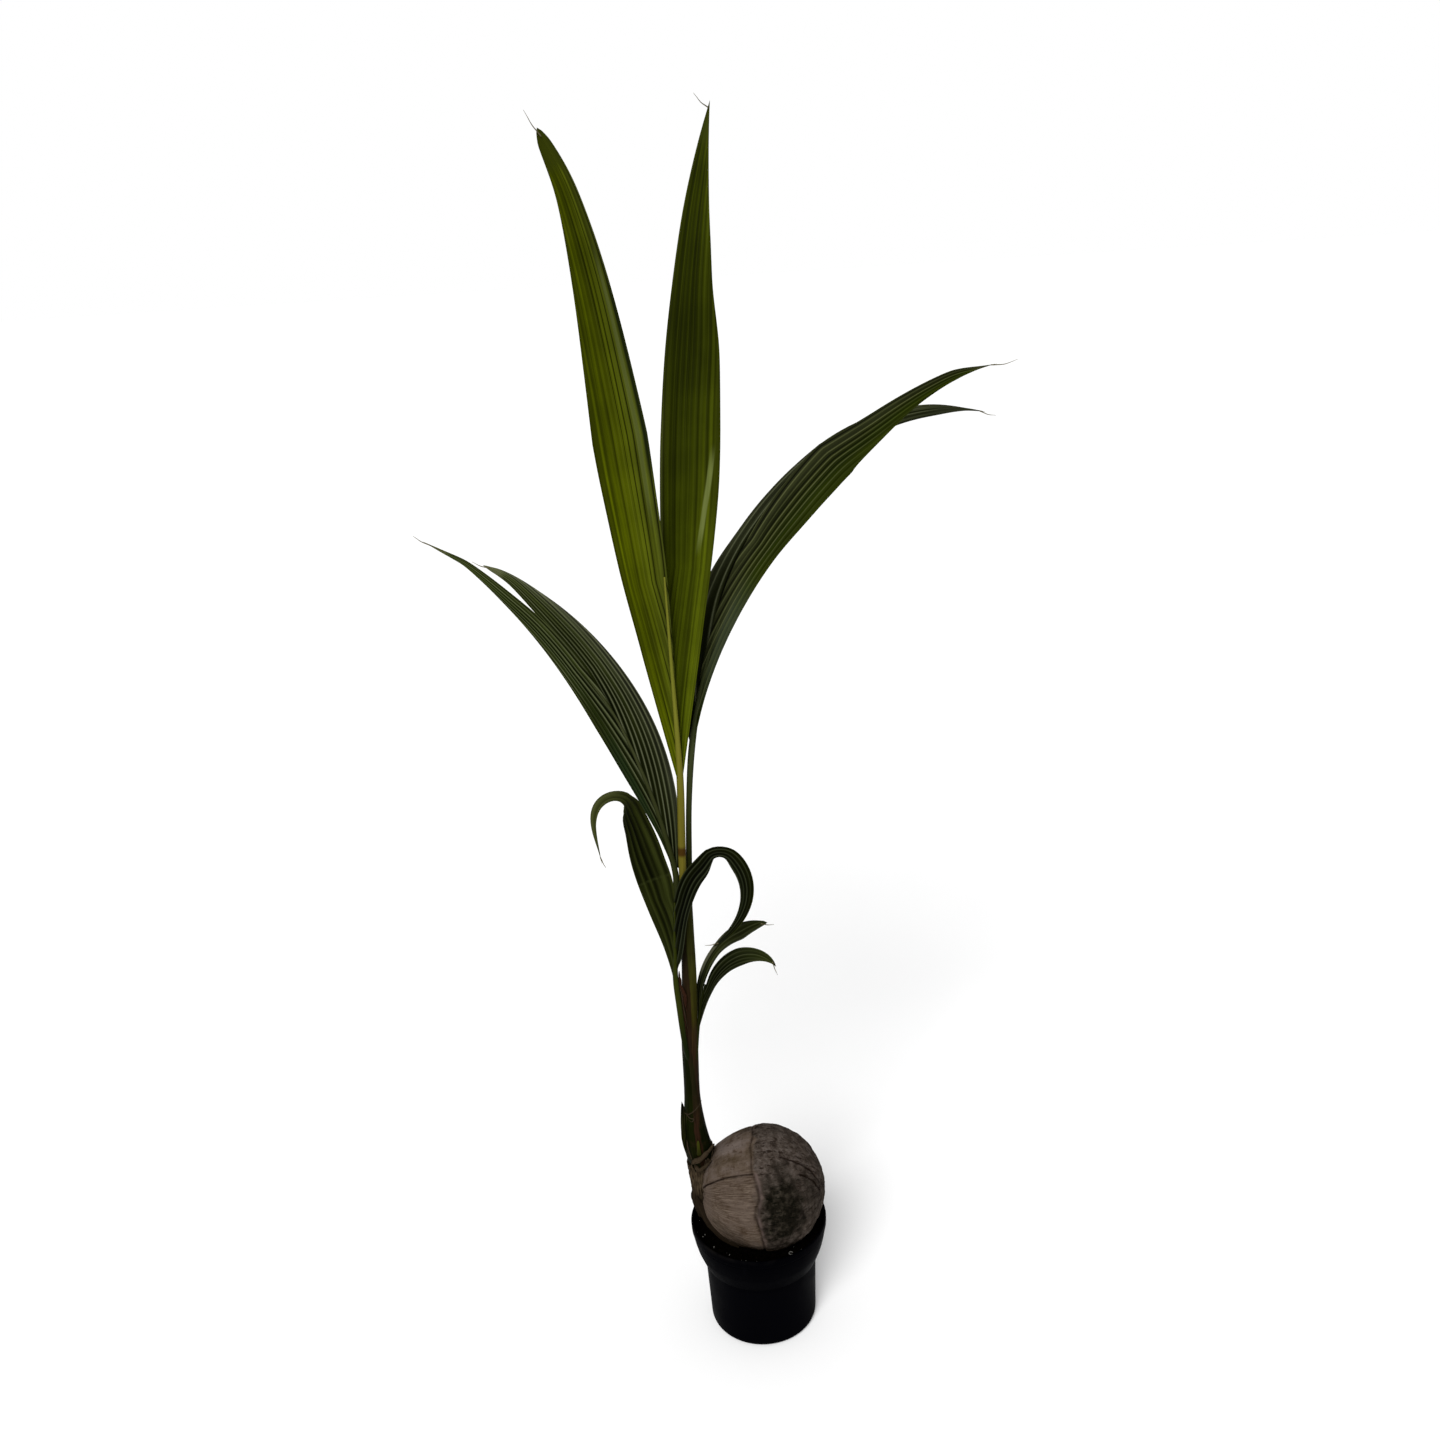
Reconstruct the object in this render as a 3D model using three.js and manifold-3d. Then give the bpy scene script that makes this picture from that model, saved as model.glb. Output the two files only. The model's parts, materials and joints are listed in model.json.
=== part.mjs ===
// A young coconut palm: a sprouted nut that sits in the soil of a black nursery pot, with a leaning
// sheathed stem and five leaves that each fork into two blades. Millimetres, +Z up, and the origin is
// the middle of the pot's flat underside. The plant is seen from -Y.
import * as THREE from "three";
import { mergeVertices } from "three/addons/utils/BufferGeometryUtils.js";
import Module from "manifold-3d";

const wasm = await Module();
wasm.setup();

// Clearance between pieces that touch on the real plant.
const GAP = 0.3;

// Pot: outside radii and heights, from the underside up.
const POT_HEIGHT = 165;
const RIM_RADIUS = 95;
const RIM_BAND = 13;
const COLLAR_FOOT = 104;
const COLLAR_FOOT_RADIUS = 81;
const BODY_TOP_RADIUS = 78;
const FOOT_RADIUS = 74.5;
const FOOT_ROUND = 6;
const FOOT_STEP = 0.3;
const COLLAR_BULGE = 1;
const WALL = 2;
const RIM_WALL = 3;
const FLOOR = 3;
const POT_SIDES = 48;
const DRAIN_HOLES = 6;
const DRAIN_RADIUS = 6;
const DRAIN_CIRCLE = 50;
const DRAIN_SIDES = 12;

// Soil: the mound is the share of the radius that stands level and how far it rises.
const SOIL_LEVEL = 144;
const SOIL_MOUND = 3;
const SOIL_MOUND_SHARE = 0.8;

// Nut: it lies along X, and its germinating end points to -X.
const NUT_LEFT = 96;
const NUT_RIGHT = 78;
const NUT_RADIUS = 84;
const NUT_CENTRE = [15, 0, 213];
const NUT_RIDGES = 3;
const NUT_RIDGE_HEIGHT = 0.02;
const NUT_SIDES = 28;
const NUT_RINGS = 18;

// Sprout: stations of the stem and of the husk collar round its foot, as [x, y, z, radius].
const STEM = [
  [-68, 11, 224, 14],
  [-73, 12, 250, 16.5],
  [-77.5, 12, 274, 18.5],
  [-80.5, 11, 314, 14.8],
  [-80.6, 10, 364, 10.6],
  [-77.5, 8, 460, 10.8],
  [-72, 6, 553, 9.6],
  [-69, 4, 660, 7.5],
];
const COLLAR = [
  [-66, 11, 212, 19],
  [-70, 11, 236, 19.5],
  [-73.5, 11.5, 257, 19.5],
];

const COLOURS = {
  pot: 0x0d0d0f,
  soil: 0x14100d,
  husk: 0x54483e,
  sheath: 0x3a2f18,
  stem: 0x33300f,
  spear: 0x42500c,
  petiole: 0x6a6129,
  leaf: 0x303b14,
};

// Five leaves. Each petiole runs from the stem through its stations, then between the two blades up to
// the fork. A blade leaves its foot at a rise above level and a compass heading, and it droops and
// sweeps on its way to the tip. roll turns its face about its own line at the foot and at the tip.
// fork is the share of the blade that lies along the petiole, and inner the side that does.
const LEAVES = {
  spear: {
    colour: COLOURS.spear,
    stations: [
      [-69.5, 0, 655, 5],
      [-69.7, 0, 713, 5],
      [-64.5, 0, 832, 4.5],
    ],
    blades: {
      left: {
        from: [-66, -3, 838],
        rise: 85, droop: 20, bend: 7, heading: 192, sweep: 21, roll: [-81, -98],
        length: 757, width: 63, widest: 0.56, foot: 0.07, tip: [1.05, 0.68], fork: 0.33, inner: -1,
      },
      right: {
        from: [-62, 3, 835],
        rise: 80, droop: 18, bend: 7, heading: 60, sweep: 2, roll: [-9, 17],
        length: 791, width: 74, widest: 0.5, foot: 0.03, tip: [1.67, 1.06], fork: 0.33, inner: 1,
      },
    },
  },
  right: {
    colour: COLOURS.leaf,
    stations: [
      [-63, 8, 656, 4.4],
      [-58.6, 8, 717, 3.9],
      [-54.5, 8, 800, 3.4],
      [-46.5, 9, 877, 3],
    ],
    blades: {
      front: {
        from: [-44, 6, 881],
        rise: 81, droop: 74, bend: 1.02, heading: 12, sweep: 14, roll: [19, 59],
        length: 646, width: 54, widest: 0.61, foot: 0.03, tip: [0.8, 1.24], fork: 0.4, inner: 1,
      },
      rear: {
        from: [-47, 12, 879],
        rise: 84, droop: 99, bend: 1.17, heading: 26, sweep: -1, roll: [66, 48],
        length: 647, width: 43, widest: 0.4, foot: 0.05, tip: [1.43, 0.78], fork: 0.4, inner: -1,
      },
    },
  },
  left: {
    colour: COLOURS.leaf,
    stations: [
      [-77, 5, 656, 4.6],
      [-79, 4, 682, 4.4],
      [-79.3, 1, 706, 4],
    ],
    blades: {
      outer: {
        from: [-80, -2, 709],
        rise: 74, droop: 42, bend: 1.81, heading: 176, sweep: 2, roll: [-28, -53],
        length: 528, width: 39, widest: 0.42, foot: 0.06, tip: [1.3, 1.02], fork: 0.55, inner: -1,
      },
      upper: {
        from: [-77, 4, 711],
        rise: 91, droop: 66, bend: 1.08, heading: 160, sweep: -3, roll: [-64, -61],
        length: 479, width: 41, widest: 0.46, foot: 0.13, tip: [1.8, 0.82], fork: 0.6, inner: 1,
      },
    },
  },
  low: {
    colour: COLOURS.leaf,
    stations: [
      [-84, -4, 447, 3.6],
      [-87.6, -8, 518, 3.9],
      [-89.3, -9, 559, 3.6],
    ],
    blades: {
      left: {
        from: [-91, -8, 561],
        rise: 78.5, droop: 1.6, bend: 0.7, heading: 110, sweep: 71, roll: [-68, -16],
        length: 245, width: 52, widest: 0.92, foot: 0.09, tip: [2, 1], end: 0.6, fork: 0.42, inner: -1,
        curl: { droop: 165, bend: 0.5, sweep: 150, roll: -5, length: 126, tip: [0.8, 1.23] },
      },
      right: {
        from: [-86, -10, 574],
        rise: 84, droop: 48, bend: 2.67, heading: 37, sweep: -47.5, roll: [-16, 80],
        length: 174, width: 28.5, widest: 0.62, foot: 0.08, tip: [2, 1], end: 0.74, fork: 0.55, inner: 1,
        curl: { droop: 188, bend: 0.5, sweep: 24, roll: 71, length: 173, tip: [2, 0.59] },
      },
    },
  },
  small: {
    colour: COLOURS.leaf,
    stations: [
      [-71, 2, 426, 2.4],
      [-66, 5, 470, 2.6],
    ],
    blades: {
      upper: {
        from: [-67.5, 10, 472],
        rise: 87, droop: 97, bend: 1.78, heading: 18, sweep: -10, roll: [57, 52],
        length: 198, width: 16, widest: 0.6, foot: 0.25, tip: [2, 0.5], fork: 0.33, inner: -1,
      },
      lower: {
        from: [-64, 4, 473],
        rise: 77, droop: 145, bend: 2.55, heading: -12, sweep: 13, roll: [30, 40],
        length: 184, width: 25, widest: 0.7, foot: 0.05, tip: [1.27, 0.91], fork: 0.33, inner: 1,
      },
    },
  },
};
const SCALE_LEAF = {
  from: [-92, -2, 283],
  rise: 89, droop: 2, bend: 1, heading: 180, sweep: 0, roll: [-45, -60],
  length: 80, width: 16, widest: 0.3, foot: 0.6, tip: [1.4, 0.8],
};

// Blade and limb fineness, the thinnest edge, and the thickness of a blade as a share of its length.
const BLADE_STEPS = 18;
const BLADE_SIDES = 8;
const LIMB_SIDES = 10;
const LIMB_STEPS = 12;
const THINNEST = 1;
const THICKNESS_SHARE = 0.0105;
const FOLD = 0.22;
const RACHIS_STATIONS = 4;
const RACHIS_TIP_RADIUS = 1.2;

const UP = new THREE.Vector3(0, 0, 1);
const radians = THREE.MathUtils.degToRad;

function toSolid(geometry) {
  geometry.deleteAttribute("normal");
  geometry.deleteAttribute("uv");
  const merged = mergeVertices(geometry, 1e-4);
  return new wasm.Manifold(
    new wasm.Mesh({
      numProp: 3,
      vertProperties: new Float32Array(merged.attributes.position.array),
      triVerts: new Uint32Array(merged.index.array),
    }),
  );
}

function toGeometry(solid) {
  const mesh = solid.getMesh();
  const geometry = new THREE.BufferGeometry();
  geometry.setAttribute("position", new THREE.BufferAttribute(mesh.vertProperties, 3));
  geometry.setIndex(new THREE.BufferAttribute(mesh.triVerts, 1));
  geometry.computeVertexNormals();
  return geometry;
}

// The largest body that is left of a solid once a cut has trimmed scraps off it.
function mainBody(solid) {
  const bodies = solid.decompose();
  return bodies.reduce((best, body) => (body.volume() > best.volume() ? body : best));
}

// Bends a unit cylinder along frames, with a half width, a half thickness and a fold at each step.
// The two edges stay on the frames and the middle sinks by the fold.
function bentCylinder(frames, sectionAt, sides) {
  const steps = frames.length - 1;
  const geometry = new THREE.CylinderGeometry(1, 1, 1, sides, steps);
  const position = geometry.attributes.position;
  for (let i = 0; i < position.count; i++) {
    const t = position.getY(i) + 0.5;
    const { point, side, normal } = frames[Math.round(t * steps)];
    const { halfWidth, halfThickness, fold } = sectionAt(t);
    const across = position.getX(i) * halfWidth;
    const sunk = position.getZ(i) * halfThickness + (halfWidth - Math.abs(across)) * fold;
    const place = point.clone().addScaledVector(side, across).addScaledVector(normal, -sunk);
    position.setXYZ(i, place.x, place.y, place.z);
  }
  return toSolid(geometry);
}

// A round limb through stations of [x, y, z, radius].
function limb(stations, grow = 0) {
  const curve = new THREE.CatmullRomCurve3(stations.map(([x, y, z]) => new THREE.Vector3(x, y, z)));
  const radii = new THREE.CatmullRomCurve3(stations.map((s, i) => new THREE.Vector3(i, s[3], 0)));
  const frames = [];
  for (let i = 0; i <= LIMB_STEPS; i++) {
    const tangent = curve.getTangent(i / LIMB_STEPS);
    const side = new THREE.Vector3(0, 1, 0).cross(tangent).normalize();
    frames.push({
      point: curve.getPoint(i / LIMB_STEPS),
      side,
      normal: tangent.clone().cross(side),
    });
  }
  frames[0].point.addScaledVector(curve.getTangent(0), -grow);
  frames[LIMB_STEPS].point.addScaledVector(curve.getTangent(1), grow);
  const sectionAt = (t) => {
    const radius = radii.getPoint(t).y + grow;
    return { halfWidth: radius, halfThickness: radius, fold: 0 };
  };
  return bentCylinder(frames, sectionAt, LIMB_SIDES);
}

// Where a blade points at a share t of its length.
function direction(blade, t) {
  const elevation = radians(blade.rise - blade.droop * t ** blade.bend);
  const heading = radians(blade.heading + blade.sweep * t);
  return new THREE.Vector3(
    Math.cos(elevation) * Math.cos(heading),
    Math.cos(elevation) * Math.sin(heading),
    Math.sin(elevation),
  );
}

// Points along a blade, each with the direction across it and the direction its face looks.
function bladeFrames(blade) {
  const point = new THREE.Vector3(...blade.from);
  const frames = [];
  for (let i = 0; i <= BLADE_STEPS; i++) {
    const t = i / BLADE_STEPS;
    if (i > 0) {
      point.addScaledVector(direction(blade, (i - 0.5) / BLADE_STEPS), blade.length / BLADE_STEPS);
    }
    const tangent = direction(blade, t);
    const heading = radians(blade.heading + blade.sweep * t);
    const level = new THREE.Vector3(-Math.sin(heading), Math.cos(heading), 0);
    const turn = radians(THREE.MathUtils.lerp(...blade.roll, t));
    const side = level.clone().applyAxisAngle(tangent, turn);
    frames.push({ point: point.clone(), side, normal: tangent.clone().cross(side) });
  }
  return frames;
}

function bladeWidth(blade, t) {
  const { width, widest, foot, tip, end = 0 } = blade;
  if (t < widest) {
    return width * (foot + (1 - foot) * Math.sin(((Math.PI / 2) * t) / widest));
  }
  const past = (t - widest) / (1 - widest);
  return width * (end + (1 - end) * (1 - past ** tip[0]) ** tip[1]);
}

// A thin leaf blade, lens-shaped in section and folded a little along its middle. A bent blade is as
// thick as its whole length asks for, on both sides of the bend.
function leafBlade(blade, grow = 0) {
  const { length, curl, before = 0 } = blade;
  const thick = (before + length + (curl ? curl.length : 0)) * THICKNESS_SHARE;
  const sectionAt = (t) => {
    const width = bladeWidth(blade, t);
    return {
      halfWidth: Math.max(width, THINNEST) / 2 + grow,
      halfThickness: Math.max(thick * Math.sqrt(width / blade.width), THINNEST) / 2 + grow,
      fold: FOLD,
    };
  };
  return bentCylinder(bladeFrames(blade), sectionAt, BLADE_SIDES);
}

// The part of a bent blade past its bend, which starts where the rising part ends.
function curlOf(blade) {
  const last = bladeFrames(blade)[BLADE_STEPS].point;
  const { droop, bend, sweep, roll, length, tip } = blade.curl;
  return {
    from: last.addScaledVector(direction(blade, 1), GAP).toArray(),
    rise: blade.rise - blade.droop,
    heading: blade.heading + blade.sweep,
    roll: [blade.roll[1], roll],
    width: blade.width * blade.end,
    widest: 0,
    foot: 1,
    before: blade.length,
    droop, bend, sweep, length, tip,
  };
}

// Stations of a petiole between its two blades, from their feet to the fork.
function rachis(blades, footRadius) {
  const stations = [];
  const framed = Object.values(blades).map((blade) => [blade, bladeFrames(blade)]);
  for (let k = 1; k <= RACHIS_STATIONS; k++) {
    const share = k / RACHIS_STATIONS;
    const middle = new THREE.Vector3();
    for (const [blade, frames] of framed) {
      const t = share * blade.fork;
      const { point, side } = frames[Math.round(t * BLADE_STEPS)];
      const edge = (blade.inner * bladeWidth(blade, t)) / 2;
      middle.addScaledVector(point, 0.5).addScaledVector(side, 0.5 * edge);
    }
    stations.push([...middle.toArray(), THREE.MathUtils.lerp(footRadius, RACHIS_TIP_RADIUS, share)]);
  }
  return stations;
}

// Outline of the pot's outside from the middle of its foot up to the rim, as radius and height.
function potOutside() {
  const slope = (BODY_TOP_RADIUS - FOOT_RADIUS) / COLLAR_FOOT;
  return [
    [0, 0],
    [FOOT_RADIUS - FOOT_ROUND, 0],
    [FOOT_RADIUS - FOOT_ROUND * FOOT_STEP, FOOT_ROUND * FOOT_STEP],
    [FOOT_RADIUS + slope * FOOT_ROUND, FOOT_ROUND],
    [BODY_TOP_RADIUS, COLLAR_FOOT - 1],
    [COLLAR_FOOT_RADIUS, COLLAR_FOOT],
    [(COLLAR_FOOT_RADIUS + RIM_RADIUS) / 2 + COLLAR_BULGE, (COLLAR_FOOT + POT_HEIGHT - RIM_BAND) / 2],
    [RIM_RADIUS - 1, POT_HEIGHT - RIM_BAND],
    [RIM_RADIUS, POT_HEIGHT],
  ];
}

// Outline of the pot's inside from the rim down to the middle of its floor.
function potInside() {
  const slope = (BODY_TOP_RADIUS - FOOT_RADIUS) / COLLAR_FOOT;
  const collarMiddle = (COLLAR_FOOT_RADIUS + RIM_RADIUS) / 2 + COLLAR_BULGE - WALL;
  return [
    [RIM_RADIUS - RIM_WALL, POT_HEIGHT],
    [RIM_RADIUS - RIM_WALL, POT_HEIGHT - RIM_BAND],
    [collarMiddle, (COLLAR_FOOT + POT_HEIGHT - RIM_BAND) / 2],
    [BODY_TOP_RADIUS - WALL, COLLAR_FOOT - 1],
    [FOOT_RADIUS - WALL + slope * FOOT_ROUND, FOOT_ROUND],
    [FOOT_RADIUS - WALL - FOOT_ROUND + FLOOR, FLOOR],
    [0, FLOOR],
  ];
}

// LatheGeometry turns about Y, so a lathed shape is stood up along Z.
function lathe(outline) {
  const profile = outline.map(([radius, height]) => new THREE.Vector2(radius, height));
  return toSolid(new THREE.LatheGeometry(profile, POT_SIDES).rotateX(Math.PI / 2));
}

function pot() {
  let solid = lathe([...potOutside(), ...potInside()]);
  for (let i = 0; i < DRAIN_HOLES; i++) {
    const angle = (2 * Math.PI * i) / DRAIN_HOLES;
    const drill = new THREE.CylinderGeometry(DRAIN_RADIUS, DRAIN_RADIUS, FLOOR * 4, DRAIN_SIDES);
    drill.rotateX(Math.PI / 2);
    drill.translate(DRAIN_CIRCLE * Math.cos(angle), DRAIN_CIRCLE * Math.sin(angle), 0);
    solid = solid.subtract(toSolid(drill));
  }
  return solid;
}

// The soil fills the pot up to its level: the pot's inner wall, drawn in by the gap.
function soil() {
  const wall = potInside().reverse();
  const above = wall.findIndex(([, height]) => height > SOIL_LEVEL);
  const [low, high] = [wall[above - 1], wall[above]];
  const edge = THREE.MathUtils.mapLinear(SOIL_LEVEL, low[1], high[1], low[0], high[0]) - GAP;
  return lathe([
    [0, FLOOR + GAP],
    [wall[1][0] - GAP, FLOOR + GAP],
    ...wall.slice(2, above).map(([radius, height]) => [radius - GAP, height]),
    [edge, SOIL_LEVEL],
    [edge * SOIL_MOUND_SHARE, SOIL_LEVEL + SOIL_MOUND],
    [0, SOIL_LEVEL + SOIL_MOUND],
  ]);
}

// The husk is an egg that lies along X, with blunt ridges round it.
function nut(grow = 0) {
  const egg = new THREE.SphereGeometry(1, NUT_SIDES, NUT_RINGS).rotateZ(Math.PI / 2);
  const position = egg.attributes.position;
  for (let i = 0; i < position.count; i++) {
    const [x, y, z] = [position.getX(i), position.getY(i), position.getZ(i)];
    const ridge = 1 + NUT_RIDGE_HEIGHT * Math.cos(NUT_RIDGES * Math.atan2(y, z));
    const reach = (x < 0 ? NUT_LEFT : NUT_RIGHT) + grow;
    const radius = NUT_RADIUS * ridge + grow;
    position.setXYZ(i, NUT_CENTRE[0] + x * reach, NUT_CENTRE[1] + y * radius, NUT_CENTRE[2] + z * radius);
  }
  return toSolid(egg);
}

const palm = new THREE.Group();
const placed = [];

// Adds a solid, cut clear of every earlier one whose grown twin it meets.
function place(name, shape, colour, roughness = 0.6) {
  let solid = shape(0);
  for (const earlier of placed) {
    solid = solid.subtract(earlier);
  }
  placed.push(shape(GAP));
  const material = new THREE.MeshStandardMaterial({ color: colour, roughness, metalness: 0 });
  const mesh = new THREE.Mesh(toGeometry(mainBody(solid)), material);
  mesh.name = name;
  palm.add(mesh);
}

place("coconut_husk", nut, COLOURS.husk, 0.95);
place("stem", (grow) => limb(STEM, grow), COLOURS.stem, 0.55);
place("husk_collar", (grow) => limb(COLLAR, grow), COLOURS.sheath, 0.95);
place("scale_leaf", (grow) => leafBlade(SCALE_LEAF, grow), COLOURS.sheath);
for (const [leafName, leaf] of Object.entries(LEAVES)) {
  const { stations, blades, colour } = leaf;
  const route = [...stations, ...rachis(blades, stations.at(-1)[3])];
  place(`${leafName}_petiole`, (grow) => limb(route, grow), colour, 0.5);
}
for (const [leafName, { blades, colour }] of Object.entries(LEAVES)) {
  for (const [side, blade] of Object.entries(blades)) {
    place(`${leafName}_leaf_${side}`, (grow) => leafBlade(blade, grow), colour);
    if (blade.curl) {
      place(`${leafName}_leaf_${side}_curl`, (grow) => leafBlade(curlOf(blade), grow), colour);
    }
  }
}
place("potting_soil", soil, COLOURS.soil, 1);
place("pot", pot, COLOURS.pot, 0.4);

export default palm;
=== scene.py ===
"""A young coconut palm that grows out of its nut in a black nursery pot. Metres, +Z up, seen from -Y."""
import itertools
import json
import math
import random
import bmesh
import bpy
import numpy as np
from mathutils import Matrix, Vector


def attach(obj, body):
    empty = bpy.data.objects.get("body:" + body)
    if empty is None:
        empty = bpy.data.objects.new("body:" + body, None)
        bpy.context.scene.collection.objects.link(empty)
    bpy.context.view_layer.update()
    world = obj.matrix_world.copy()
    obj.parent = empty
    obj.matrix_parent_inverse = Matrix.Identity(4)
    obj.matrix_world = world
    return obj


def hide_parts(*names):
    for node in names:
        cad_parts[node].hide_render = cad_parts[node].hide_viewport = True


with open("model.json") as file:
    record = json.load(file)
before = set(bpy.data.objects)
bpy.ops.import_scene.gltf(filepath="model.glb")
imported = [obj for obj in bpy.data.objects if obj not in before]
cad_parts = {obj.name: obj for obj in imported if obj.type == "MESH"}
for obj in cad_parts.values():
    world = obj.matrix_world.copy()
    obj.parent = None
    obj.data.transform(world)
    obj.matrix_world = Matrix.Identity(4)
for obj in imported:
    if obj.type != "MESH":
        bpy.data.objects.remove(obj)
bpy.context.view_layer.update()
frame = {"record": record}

NODE_SLOTS = {part["node"]: part["material_slot"] for part in frame["record"]["subparts"]}

MM = 0.001

# Camera, read from the pot's rim, sides and foot. The frame is taken as 1440 pixels wide.
FRAME_PIXELS = 1440
FOCAL_PIXELS = 1394.6
SENSOR_MM = 36
EYE = Vector((-0.0103, -1.6, 1.5017))
PITCH = math.radians(20.3)
ROLL = math.radians(3.6)
SKY_LIGHT = 0.5
KEY_LIGHT = 3.0
KEY_WIDTH = math.radians(30)
KEY_DIRECTION = Vector((0.35, 1.2, -1.15))
LIGHT_GAIN = 1.4  # how much brighter this light makes a surface than its base colour
SCREEN_GAMMA = 2.2
FLOOR_SIZE = 60
FLOOR_LEVEL = -0.0005

# Pot, as in the solids, in millimetres: outside radii and heights.
POT_HEIGHT = 165
RIM_RADIUS = 95
RIM_BAND = 13
COLLAR_FOOT = 104
COLLAR_FOOT_RADIUS = 81
BODY_TOP_RADIUS = 78
FOOT_RADIUS = 74.5
FOOT_ROUND = 6
POT_WALL = 2
RIM_WALL = 3
POT_FLOOR = 3
DRAIN_HOLES = 6
DRAIN_RADIUS = 6
DRAIN_CIRCLE = 50
POT_UNDERSIDE = [[0, 1.2], [26, 1.2], [27.5, 0.9], [58, 0.9], [60, 0]]
BAND_FOOT = POT_HEIGHT - RIM_BAND
COLLAR_MIDDLE = (COLLAR_FOOT + BAND_FOOT) / 2
COLLAR_MIDDLE_RADIUS = (COLLAR_FOOT_RADIUS + RIM_RADIUS) / 2
POT_SLOPE = (BODY_TOP_RADIUS - FOOT_RADIUS) / COLLAR_FOOT
SOIL_LEVEL = 145
SOIL_RADIUS = 90.5
SOIL_RINGS = 56
SOIL_SIDES = 200
GRIT_RADIUS = 89.5

# Nut: it lies along X with its sprouting end at -X.
NUT_CENTRE = np.array([15, 0, 213])
NUT_LEFT = 96
NUT_RIGHT = 78
NUT_RADIUS = 84
NUT_RIDGES = 3
NUT_RIDGE_HEIGHT = 0.02
NUT_FLAT = 0.06  # how much flatter than an egg its right shoulder is

# Sprout: stations as [x, y, z, radius].
STEM = [
    [-68, 11, 224, 14],
    [-73, 12, 250, 16.5],
    [-77.5, 12, 274, 18.5],
    [-80.5, 11, 314, 14.8],
    [-80.6, 10, 364, 10.6],
    [-77.5, 8, 460, 10.8],
    [-72, 6, 553, 9.6],
    [-69, 4, 660, 7.5],
]

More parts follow.
